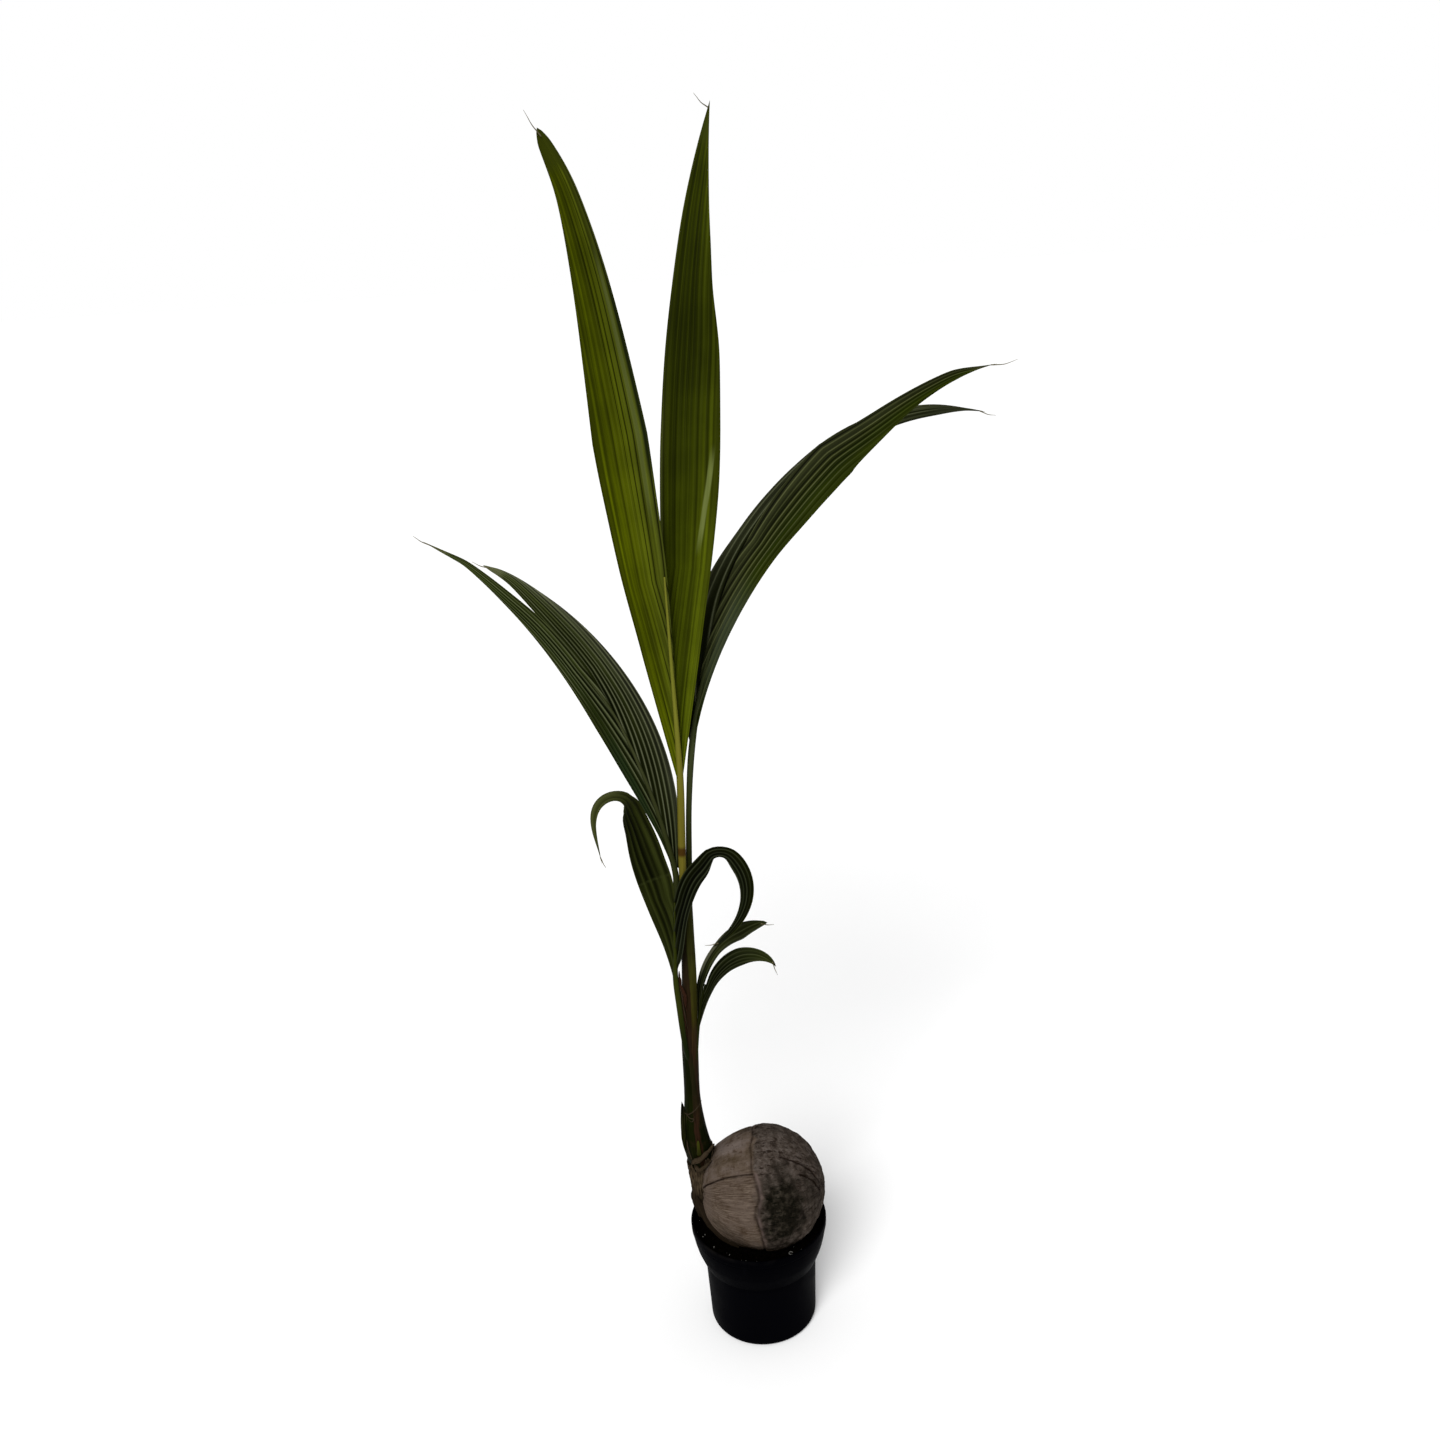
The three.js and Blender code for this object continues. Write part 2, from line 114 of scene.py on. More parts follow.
# Blades. Each leaves its foot at a rise above level and a compass heading, and it droops and sweeps on its
# way to the tip. roll turns its face about its own line. fork is the share of the blade that lies along the
# stalk, and inner the side that does. bends moves its line as [share, x, y, z], and edges moves its inner
# and outer edge outwards. hair is where the dry thread at its tip ends.
BLADES = {
    "spear_leaf_left": dict(
        foot_at=[-66, -3, 838],
        rise=85, droop=20, bend=7, heading=192, sweep=21, roll=[-81, -98],
        length=757, width=63, widest=0.56, foot=0.07, tip=[1.05, 0.68], fork=0.33, inner=-1,
        edges=[[0.25, 1, 0], [0.35, 1.5, 2], [0.5, 0, 3], [0.9, 0, 3], [0.96, 2, 4], [1, 3, 4]],
        bends=[[0.92, 0, 0, 0], [1, -6, 0, -1]],
        seed=4, ribs=11, pleat=0.5, hair=[-170, -60, 1601.5],
    ),
    "spear_leaf_right": dict(
        foot_at=[-62, 3, 835],
        rise=80, droop=18, bend=7, heading=60, sweep=2, roll=[-9, 17],
        length=791, width=74, widest=0.5, foot=0.03, tip=[1.67, 1.06], fork=0.33, inner=1,
        edges=[[0.25, 1, 0], [0.35, 1.5, 2], [0.45, 0, 4], [0.66, 0, 4], [0.74, 0, -1], [0.8, 0, 0]],
        bends=[
            [0, 0, 0, 0], [0.1, 0, -16, 4], [0.2, 0, -26, 6.5], [0.33, 0.5, -32, 8], [0.45, 0.5, -26, 5],
            [0.6, 0, -13, 1.5], [0.75, 0, -4, 0], [0.85, 0, 0, 0], [1, 4.5, 0, 8],
        ],
        seed=5, ribs=11, pleat=0.5, trough=0.6, hair=[4, 120, 1620],
    ),
    "right_leaf_front": dict(
        foot_at=[-44, 6, 881],
        rise=81, droop=74, bend=1.02, heading=12, sweep=14, roll=[19, 59],
        length=646, width=54, widest=0.61, foot=0.03, tip=[0.8, 1.24], fork=0.4, inner=1,
        bends=[[0.62, 0, 0, 0], [0.7, 0, 0, -2], [0.8, 0, 0, -1], [0.9, 0, 0, 0.5], [1, 0, 0, -6]],
        edges=[
            [0.4, 0, 1], [0.48, 0, 4], [0.56, 0, 4], [0.61, 0, 2], [0.66, -2, 4], [0.72, -2, 4],
            [0.8, 0, 2], [0.93, 3, 3], [1, 0, 0],
        ],
        seed=12, ribs=8, start=0.95, hair=[386, 168, 1299],
    ),
    "right_leaf_rear": dict(
        foot_at=[-47, 12, 879],
        rise=84, droop=99, bend=1.17, heading=26, sweep=-1, roll=[66, 48],
        length=647, width=43, widest=0.4, foot=0.05, tip=[1.43, 0.78], fork=0.4, inner=-1,
        edges=[
            [0.2, 0, 5], [0.28, 0, 6], [0.34, 0, 2], [0.4, 0, -3], [0.5, 0, -3.5], [0.58, 0, -2.5],
            [0.64, -2, 0], [0.7, -6, 1], [0.8, -3, 1], [0.88, 0, 1], [0.95, -2, -2], [1, -2, -2],
        ],
        seed=11, ribs=6, start=0.95, hair=[368, 206, 1226],
    ),
    "left_leaf_outer": dict(
        foot_at=[-80, -2, 709],
        rise=74, droop=42, bend=1.81, heading=176, sweep=2, roll=[-28, -53],
        length=528, width=39, widest=0.42, foot=0.06, tip=[1.3, 1.02], fork=0.55, inner=-1,
        edges=[
            [0, 0, -1], [0.1, 0, -6], [0.2, 0, -4.5], [0.3, 0, -3], [0.5, 0.5, -3], [0.7, 2, -3],
            [0.78, 1, -3], [0.85, 2.5, -4], [0.9, 4, -5], [1, 0.5, -0.3],
        ],
        seed=19, ribs=8, hair=[-354, 5, 1160],
    ),
    "left_leaf_upper": dict(
        foot_at=[-77, 4, 711],
        rise=91, droop=66, bend=1.08, heading=160, sweep=-3, roll=[-64, -61],
        length=479, width=41, widest=0.46, foot=0.13, tip=[1.8, 0.82], fork=0.6, inner=1,
        edges=[
            [0.5, 0, 0], [0.6, 2, 0], [0.75, 2, 0], [0.83, 0, 0], [0.92, -3.5, 2], [0.96, -1.5, 2],
            [1, 0, 0],
        ],
        seed=19, ribs=10, hair=[-305, 95, 1104],
    ),
    "low_leaf_left": dict(
        foot_at=[-91, -8, 561],
        rise=78.5, droop=1.6, bend=0.7, heading=110, sweep=71, roll=[-68, -16],
        length=245, width=52, widest=0.92, foot=0.09, tip=[2, 1], end=0.6, fork=0.42, inner=-1,
        curl=dict(droop=165, bend=0.5, sweep=150, roll=-5, length=126, tip=[0.8, 1.23]),
        edges=[
            [0.12, 0, 0], [0.22, 3, 0], [0.34, 3.5, 0], [0.42, 0, 0], [0.58, 0, 0], [0.63, 0, 5],
            [0.665, 0, 4], [0.72, 0, -1], [0.8, 0, -2.5], [0.9, 0, -1], [1, 0, 0],
        ],
        seed=25, ribs=5, hair=[-163, -38, 738],
    ),
    "low_leaf_right": dict(
        foot_at=[-86, -10, 574],
        rise=84, droop=48, bend=2.67, heading=37, sweep=-47.5, roll=[-16, 80],
        length=174, width=28.5, widest=0.62, foot=0.08, tip=[2, 1], end=0.74, fork=0.55, inner=1,
        curl=dict(droop=188, bend=0.5, sweep=24, roll=71, length=173, tip=[2, 0.59]),
        bends=[
            [0, 0, 0, 0], [0.05, 0, -4, 0], [0.2, 0, -7, 1], [0.3, 0, -13, 2], [0.38, 0, -12, 0],
            [0.45, 0, -8, -5], [0.52, -1, -3, -2], [0.58, -2, 0, 3], [0.65, -2, 0, 2], [0.78, -1, 0, 0],
        ],
        edges=[
            [0, 0, 1], [0.03, 0, 5], [0.08, 0, 7.5], [0.13, 0, 5.5], [0.2, 0, 1.5], [0.26, 0, 0],
            [0.46, 0, 0], [0.52, 0, -7], [0.56, 0, -7], [0.61, 0, 0],
        ],
        seed=26, ribs=5, trough=0.4, hair=[-48, -21, 611],
    ),
    "small_leaf_upper": dict(
        foot_at=[-67.5, 10, 472],
        rise=87, droop=97, bend=1.78, heading=18, sweep=-10, roll=[57, 52],
        length=198, width=16, widest=0.6, foot=0.25, tip=[2, 0.5], fork=0.33, inner=-1,
        edges=[
            [0, 0, -1], [0.1, 0, -2], [0.3, 0, -3], [0.6, 0, -3], [0.7, 3, -1], [0.8, 7, 1], [0.9, 4, 0],
            [0.96, 1.5, -1], [1, 0, 0],
        ],
        seed=33, ribs=4, hair=[44, 30, 607],
    ),
    "small_leaf_lower": dict(
        foot_at=[-64, 4, 473],
        rise=77, droop=145, bend=2.55, heading=-12, sweep=13, roll=[30, 40],
        length=184, width=25, widest=0.7, foot=0.05, tip=[1.27, 0.91], fork=0.33, inner=1,
        seed=33, ribs=5, hair=[44, -4, 551],
    ),
}
# Leaf stalks up to their fork, as [x, y, z, radius].
STALKS = {
    "spear": [[-69.5, 0, 655, 5], [-69.7, 0, 713, 5], [-64.5, 0, 832, 4.5]],
    "right": [[-65, 8, 656, 4.4], [-61.2, 8, 717, 4], [-55.6, 8, 800, 3.7], [-46.5, 9, 877, 4.2]],
    "left": [[-77, 5, 656, 4.6], [-79, 4, 682, 4.4], [-79.3, 1, 706, 4]],
    "low": [[-80, 3, 420, 3], [-83.5, -3, 447, 3.6], [-87.6, -8, 518, 3.9], [-89.3, -9, 559, 3.6]],
    "small": [[-71, 2, 426, 2.4], [-66, 5, 470, 2.6]],
}
SCALE_LEAF = dict(
    foot_at=[-92, -2, 283],
    rise=89, droop=2, bend=1, heading=180, sweep=0, roll=[-45, -60],
    length=80, width=16, widest=0.3, foot=0.6, tip=[1.4, 0.8], fork=0.3, inner=1, seed=77, ribs=4,
)
FOLD = 0.22
BLADE_THICKNESS = 0.5
PLEAT_DEPTH = 1.4
COLUMNS_PER_RIB = 8
ROW_LENGTH = 4.5
PLAIN_MARGIN = 0.06
RUN_OUT = 0.45  # how early the pleats run out where a blade narrows
PETIOLE_ROWS = 110
PETIOLE_SIDES = 28
PETIOLE_TIP = 1.2
HAIR_ROWS = 16
HAIR_SIDES = 6

# Looks of the blades, as leaf_material reads them.
BLADE_LOOKS = {
    "spear_leaf_left": dict(
        zones=[
            (0, (60, 66, 20)), (0.2, (70, 77, 14)), (0.35, (74, 82, 8)), (0.5, (66, 73, 3)),
            (0.65, (61, 68, 1)), (0.8, (68, 76, 1)), (1, (64, 71, 2)),
        ],
        run=[(0, 1.25), (0.12, 1.1), (0.22, 1.02), (0.35, 1.1), (0.5, 1.06), (0.65, 1.02), (0.9, 0.98)],
        rib=(92, 100, 32), rib_and_sheen_share=0.3, tip=(52, 58, 10), plain=(0.5, 0.72), sharp=9.0,
        stripes=[
            # Painted shade: a dark strip along the inner edge, where the margin folds away from the light.
            dict(colour=(22, 28, 9), at=0.0, half=0.11, along=(0.46, 0.82), fade=0.08, depth=0.9),
            dict(colour=(92, 100, 50), at=0.155, half=0.05, along=(0.4, 0.85), fade=0.08, depth=0.6),
        ],
    ),
    "spear_leaf_right": dict(
        zones=[
            (0, (58, 64, 14)), (0.1, (47, 54, 2)), (0.4, (46, 53, 2)), (0.6, (49, 56, 3)),
            (0.78, (61, 69, 5)), (1, (64, 72, 8)),
        ],
        run=[(0, 1.3), (0.15, 1.2), (0.3, 1.16), (0.5, 0.95), (0.65, 0.74), (0.8, 0.84), (0.92, 0.95)],
        rib=(80, 88, 20), rib_and_sheen_share=0.2, valley_shade_share=0.5, tip=(52, 58, 12), sharp=10.0,
        stripes=[
            # Painted highlight: a pale gloss streak that leans across the lower middle of the blade.
            dict(colour=(104, 113, 58), at=0.78, half=0.06, along=(0.345, 0.52), lean=1.15, fade=0.05),
            dict(colour=(84, 90, 40), at=0.0, half=0.05, along=(0.3, 0.6), fade=0.1, depth=0.7),
        ],
    ),
    "right_leaf_front": dict(
        zones=[
            (0, (44, 47, 25)), (0.2, (47, 51, 26)), (0.35, (41, 46, 14)), (0.5, (36, 43, 7)),
            (0.65, (37, 47, 5)), (0.8, (42, 51, 5)), (1, (43, 51, 8)),
        ],
        run=[
            (0, 0.95), (0.08, 0.97), (0.2, 1.02), (0.35, 0.98), (0.45, 0.88), (0.6, 0.9), (0.75, 1.02),
            (0.9, 1.05),
        ],
        rib=(90, 94, 58), rib_and_sheen_share=0.9, tip=(62, 64, 36), plain=(0.6, 0.9), sharp=9.0,
        # Painted sheen: grey-green light off the blade towards its foot.
        stripes=[dict(colour=(72, 80, 62), at=0.8, half=0.6, along=(0.04, 0.36), fade=0.12, depth=0.5)],
    ),
    "right_leaf_rear": dict(
        # The grey-green zones at both edges are partly painted sheen, light off the edges of the blade.
        zones=[
            (0, (50, 54, 34)), (0.3, (46, 50, 28)), (0.5, (34, 38, 16)), (0.65, (33, 37, 15)),
            (0.8, (54, 58, 36)), (1, (58, 60, 40)),
        ],
        run=[(0, 0.95), (0.5, 0.92), (0.7, 1.0), (0.85, 1.15), (1, 1.3)],
        rib=(94, 98, 72), rib_and_sheen_share=0.95, tip=(56, 59, 40), fade=0.85, sharp=9.0,
    ),
    "left_leaf_outer": dict(
        zones=[
            (0, (42, 47, 18)), (0.2, (39, 46, 15)), (0.35, (34, 41, 9)), (0.5, (36, 44, 11)),
            (0.65, (36, 45, 14)), (0.8, (40, 47, 16)), (1, (45, 52, 20)),
        ],
        run=[(0, 0.95), (0.2, 0.9), (0.35, 0.88), (0.5, 1.0), (0.65, 1.22), (0.8, 1.35), (0.92, 1.7)],
        rib=(102, 108, 76), rib_and_sheen_share=0.9, tip=(92, 94, 60), plain=(0.42, 0.58),
        ribbed=0.42, sharp=3.5,
        stripes=[dict(colour=(33, 47, 22), at=0.8, half=0.42, along=(0.03, 0.42), fade=0.12, depth=0.85)],
    ),
    "left_leaf_upper": dict(
        # The greyer zones towards the outer edge are partly painted sheen, light off the edge of the blade.
        zones=[
            (0, (38, 44, 14)), (0.2, (29, 35, 6)), (0.35, (32, 37, 9)), (0.5, (38, 44, 14)),
            (0.65, (41, 46, 21)), (0.8, (50, 54, 34)), (1, (66, 68, 52)),
        ],
        run=[(0, 0.8), (0.2, 0.82), (0.35, 0.78), (0.5, 0.88), (0.65, 1.15), (0.8, 1.35), (0.92, 1.6)],
        rib=(99, 103, 76), rib_and_sheen_share=0.95, tip=(96, 100, 68), sharp=4.5,
    ),
    "low_leaf_left": dict(
        zones=[
            (0, (42, 46, 16)), (0.2, (40, 45, 14)), (0.4, (31, 35, 10)), (0.6, (27, 31, 6)),
            (0.8, (26, 30, 6)), (1, (34, 38, 12)),
        ],
        run=[(0, 1.2), (0.2, 1.12), (0.345, 1.25), (0.365, 1.02), (0.5, 1.0), (0.62, 1.05)],
        rib=(54, 60, 24), valley_shade_share=0.7, tip=(68, 73, 36), fade=0.62, sharp=3.0,
        stripes=[
            dict(colour=(52, 58, 26), at=0.5, half=1.0, along=(0.35, 0.366), fade=0.008, depth=0.4),
            dict(colour=(92, 97, 58), at=0.0, half=0.4, along=(0.68, 1.0), fade=0.05, depth=0.8),
        ],
    ),
    "low_leaf_right": dict(
        zones=[
            (0, (24, 28, 4)), (0.15, (17, 20, 1)), (0.4, (14, 17, 2)), (0.6, (15, 18, 4)),
            (0.8, (18, 22, 8)), (1, (30, 33, 16)),
        ],
        run=[(0, 1.25), (0.1, 1.05), (0.2, 0.8), (0.45, 0.85), (0.62, 1.15), (0.85, 1.25)],
        rib=(60, 65, 46), rib_and_sheen_share=0.7, valley_shade_share=0.85, tip=(26, 30, 18), sharp=5.5,
    ),
    "small_leaf_upper": dict(
        zones=[
            (0, (54, 57, 42)), (0.12, (44, 48, 26)), (0.3, (38, 42, 16)), (0.5, (30, 34, 9)),
            (0.75, (26, 30, 7)), (1, (30, 34, 16)),
        ],
        run=[(0, 1.1), (0.3, 0.8), (0.4, 0.9), (0.5, 1.15), (0.65, 1.15), (0.8, 1.0), (0.92, 1.2)],
        rib=(74, 78, 56), rib_and_sheen_share=0.5, valley_shade_share=0.6, tip=(50, 54, 30),
        stripes=[dict(colour=(82, 82, 64), at=0.9, half=0.26, along=(0.36, 0.74), fade=0.08)],
    ),
    "small_leaf_lower": dict(
        zones=[
            (0, (24, 28, 10)), (0.3, (24, 28, 8)), (0.5, (22, 26, 6)), (0.7, (22, 26, 7)),
            (1, (34, 37, 18)),
        ],
        run=[(0, 1.0), (0.2, 1.05), (0.35, 0.88), (0.5, 0.8), (0.65, 1.02), (0.8, 1.5), (0.92, 1.8)],
        rib=(74, 78, 54), valley_shade_share=0.6, tip=(30, 28, 14), fade=0.95,
    ),
}
# Looks of the leaf stalks: heights in metres between which the colour goes from low to high, the colour of
# the edge, and a spot as height, half length and colour.
STALK_LOOKS = {
    "spear": [(0.75, 0.95), (106, 97, 32), (120, 121, 42), (82, 80, 18), [0.7365, 0.009, (66, 45, 12)]],
    "right": [(0.7, 0.9), (34, 38, 12), (60, 66, 38), (20, 24, 7)],
    "left": [(0.7, 0.95), (46, 50, 22), (66, 70, 42), (32, 38, 12)],
    "low": [(0.44, 0.53), (18, 26, 4), (46, 52, 11), (24, 28, 5)],
    "small": [(0.43, 0.5), (34, 38, 10), (28, 32, 8), (22, 26, 6)],
}
TONGUE_LOOK = [(0.28, 0.3), (38, 39, 9), (58, 60, 14), (26, 29, 5)]
SCALE_LOOK = dict(
    zones=[(0, (40, 42, 16)), (0.6, (24, 26, 6)), (1, (34, 36, 12))],
    run=[(0, 1), (0.6, 1), (0.85, 0.4), (1, 0.2)],
    rib=(62, 58, 34), valley_shade_share=0.5, tip=(8, 8, 6),
)

# Stem colours as height, the two angles where they change, and the colours left, between and right.
STEM_BANDS = [
    [213, 0, 25, (18, 13, 5), (22, 15, 6), (20, 15, 6)],
    [262, -5, 25, (20, 21, 4), (36, 23, 12), (16, 19, 4)],
    [320, 0, 27, (17, 22, 2), (44, 27, 17), (14, 19, 3)],
    [350, 4, 50, (19, 24, 3), (38, 29, 16), (30, 24, 13)],
    [379, 4, 42, (14, 17, 1), (30, 27, 12), (36, 25, 15)],
    [415, -8, 24, (14, 19, 2), (30, 28, 12), (38, 26, 16)],
    [442, -30, 12, (16, 21, 3), (33, 24, 14), (47, 32, 18)],
    [470, -45, 15, (22, 23, 5), (38, 26, 16), (49, 36, 17)],
    [497, -50, 16, (26, 28, 8), (38, 26, 14), (52, 50, 11)],
    [519, -60, 12, (28, 28, 9), (40, 28, 16), (56, 54, 16)],
    [600, -60, -15, (34, 28, 15), (34, 29, 16), (50, 51, 18)],
    [660, -15, 20, (38, 41, 12), (48, 49, 18), (44, 45, 14)],
]

# Marks on the nut as [share, angle] points, in the terms of nut_surface.
NUT_SEAM = [
    [-0.17, 130], [-0.17, 89], [-0.22, 77], [-0.214, 67], [-0.222, 58], [-0.215, 50.4], [-0.203, 48.5],
    [-0.17, 40], [-0.149, 33], [-0.142, 26], [-0.191, 19], [-0.212, 11], [-0.178, 1.5], [-0.144, -11],
    [-0.097, -34], [-0.1, -60],
][::-1]
NUT_LIP = [
    [-0.16, 50], [-0.128, 40], [-0.097, 29.5], [-0.134, 20], [-0.157, 10], [-0.113, -5], [-0.07, -30],
]
NUT_CRACKS = [
    [[-0.215, 50.4], [-0.43, 50.3], [-0.6, 50.5], [-0.76, 48.7], [-0.88, 47.8], [-0.96, 45.4]],
    [[0.257, 65], [0.463, 63.6], [0.635, 62], [0.788, 56.5], [0.924, 40]],
    [[0.566, 49], [0.705, 47], [0.827, 40], [0.932, 20]],
    [[-0.3, 178], [-0.05, 171], [0.3, 174], [0.6, 168], [0.85, 172]],
    [[0.2, 118], [0.5, 122], [0.8, 117]],
    [[-0.4, 98], [-0.37, 101], [-0.33, 100]],
    [[-0.13, 104], [-0.1, 109], [-0.07, 106]],
]
# Dimples as share, angle, reach and depth.
NUT_DIMPLES = [
    [-0.51, 72.9, 3.5, 1.0], [-0.42, 76.4, 3, 1.0], [-0.55, 62, 4, 1.2], [-0.59, 68, 3, 0.8],
    [-0.39, 83, 3.5, 0.8], [-0.46, -2, 4, 1.0], [-0.54, -4, 3, 0.9], [-0.03, 66, 3, 1.0], [0.4, 60, 4, 0.9],
]
# Stains as their spans of share and angle, and how dark they are.
NUT_STAINS = [
    [(-0.12, 0.6), (-26, 48), 1.0],
    [(0.5, 1.0), (-15, 55), 0.45],
    [(0.1, 0.8), (140, 190), 0.6],
    [(-0.35, -0.05), (98, 116), 0.35],
    [(-0.8, -0.4), (-30, -6), 0.3],
]

# Husk sleeve, as stations like the stem's.
COLLAR = [
    [-71, 9, 170, 15], [-74, 9, 194, 17], [-74, 10, 214, 17.5], [-74, 11, 240, 18.5], [-75, 11.5, 266, 19.5],
]
COLLAR_ROWS = 60
COLLAR_SIDES = 120
# Loose strands as name, look, radius, flatness and path.
STRANDS = [
    ["rolled_flap", "husk", 4.0, 0.8, [
        [-88, -6, 262], [-82, -10, 270], [-74, -12, 275], [-64, -6, 281], [-55, 4, 286],
    ]],
    ["lower_flap", "husk", 3.2, 0.7, [[-84, -8, 262], [-78, -13, 258], [-70, -13, 262], [-60, -9, 269]]],
    ["husk_flap", "husk", 5.5, 0.45, [
        [-85, -4, 207], [-79, -11, 194], [-66, -31, 175], [-47, -42, 160], [-30, -45, 149],
    ]],
    ["sheath_ring", "husk", 0.75, 1.0, [
        [-93, -1, 344], [-87, -7, 345], [-80, -9, 350], [-72, -6, 357], [-68, 2, 360],
    ]],
    ["sheath_knot", "husk", 0.75, 1.0, [
        [-90, -4, 344], [-85, -9, 340], [-80, -9, 338], [-83, -9, 334], [-88, -7, 337],
    ]],
    ["foot_fibre", "husk", 1.0, 1.0, [[-92, -2, 300], [-91, -6, 288], [-88, -8, 276], [-86, -9, 266]]],
    ["sheath_shred_1", "sheath", 1.6, 0.6, [
        [-88, -5, 552], [-81, -9, 540], [-80, -9, 524], [-78, -8, 507],
    ]],
    ["sheath_shred_2", "sheath", 1.3, 0.6, [[-82, -9, 545], [-78, -9, 530], [-79, -9, 512]]],
    ["torn_web", "sheath", 2.4, 0.6, [
        [-84.2, -4, 566], [-84.6, -4, 549], [-84.5, -5, 532], [-83, -5, 505], [-81, -4, 465],
    ]],
    ["pale_shred", "husk", 0.8, 0.6, [[-87, -6, 556], [-83.5, -8, 538], [-82, -8, 515], [-79, -7, 480]]],
]
TONGUE = [[-76, -9, 276], [-76.5, -9.5, 290], [-76.5, -8, 302]]
TONGUE_RADIUS = 3.4
STRAND_SIDES = 14

# White specks on the soil as [x, y, size], and the middle of a pale ring.
WHITE_SPECKS = [
    [-79.6, -17.5, 1.3], [-76.7, -13, 0.8], [-64.5, -38.8, 0.9], [-54, -52.7, 1.0], [-43.6, -56.4, 0.9],
    [-27.4, -69.5, 1.1], [-21.3, -70, 0.9], [-6.4, -73.2, 1.1], [-2.3, -73.6, 0.9], [49.2, -60.8, 0.8],
]
PALE_RING = np.array([40.9, -61.2, 148])
NUT_ROWS = 230
NUT_COLUMNS = 330
STEM_ROWS = 420
STEM_COLUMNS = 110
POT_SIDES = 160
NOISE_PRIMES = (73856093, 19349663, 83492791)


def rgb(red, green, blue):
    """The base colour of a surface that looks so under this light, from 0 to 255 as a screen shows it."""
    def linear(value):
        value /= 255
        return value / 12.92 if value < 0.04045 else ((value + 0.055) / 1.055) ** 2.4
    return tuple(linear(value) / LIGHT_GAIN for value in (red, green, blue)) + (1.0,)


def noise(points, seed):
    """Smooth noise from -1 to 1 at each point of an array. A seed always gives the same noise."""
    base = np.floor(points).astype(np.int64)
    part = points - base
    part = part * part * (3 - 2 * part)
    total = np.zeros(points.shape[:-1])
    for corner in itertools.product((0, 1), repeat=3):
        key = seed * 40503 + 977
        for axis, prime in enumerate(NOISE_PRIMES):
            key = key ^ (base[..., axis] + corner[axis]) * prime
        key = (key ^ (key >> 13)) * 1274126177 & 0x7FFFFFFF
        key = (key ^ (key >> 11)) * 668265263 & 0x7FFFFFFF
        weight = np.prod(np.where(corner, part, 1 - part), axis=-1)
        total += weight * ((key % 10007) / 5003.0 - 1)
    return total


def smooth_step(low, high, value):
    share = np.clip((value - low) / (high - low), 0, 1)
    return share * share * (3 - 2 * share)


def bell(offset, reach):
    """1 where the offset is nought, falling off smoothly beyond the reach."""
    return np.exp(-((offset / reach) ** 2))


def turns(sides):
    return np.linspace(0, 2 * np.pi, sides, endpoint=False)


def unit(vectors):
    return vectors / np.linalg.norm(vectors, axis=-1, keepdims=True)


def grid_piece(name, points, capped=False, maps=None):
    """A smooth piece from a grid of points in millimetres. Each row is a closed ring, and the rows run along
    the piece. maps gives the named UV maps, with one column more than the grid."""
    rows, cols = points.shape[:2]
    row, col = np.meshgrid(np.arange(rows - 1), np.arange(cols), indexing="ij")
    corner_rows = np.stack([row, row, row + 1, row + 1], -1)
    corner_cols = np.stack([col, col + 1, col + 1, col], -1)
    faces = (corner_rows * cols + corner_cols % cols).reshape(-1, 4).tolist()
    corner_rows, corner_cols = corner_rows.ravel(), corner_cols.ravel()
    if capped:
        ring = np.arange(cols)
        faces += [ring[::-1].tolist(), ((rows - 1) * cols + ring).tolist()]
        corner_rows = np.concatenate([corner_rows, 0 * ring, 0 * ring + rows - 1])
        corner_cols = np.concatenate([corner_cols, ring[::-1], ring])
    mesh = bpy.data.meshes.new(name)
    mesh.from_pydata((points.reshape(-1, 3) * MM).tolist(), [], faces)
    for map_name, values in (maps or {}).items():
        layer = mesh.uv_layers.new(name=map_name)
        layer.uv.foreach_set("vector", values[corner_rows, corner_cols].astype(np.float32).ravel())
    mesh.shade_smooth()
    return add_piece(name, mesh)


def add_piece(name, mesh):
    fix = bmesh.new()
    fix.from_mesh(mesh)
    bmesh.ops.recalc_face_normals(fix, faces=fix.faces)
    fix.to_mesh(mesh)
    fix.free()
    piece = bpy.data.objects.new(name, mesh)
    bpy.context.scene.collection.objects.link(piece)
    return piece


def fit(piece, material, slot, *nodes):
    """Gives a piece its material and its body, and hides the solids that it stands for."""
    piece.data.materials.append(material)
    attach(piece, "root")
    if nodes:
        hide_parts(*nodes)


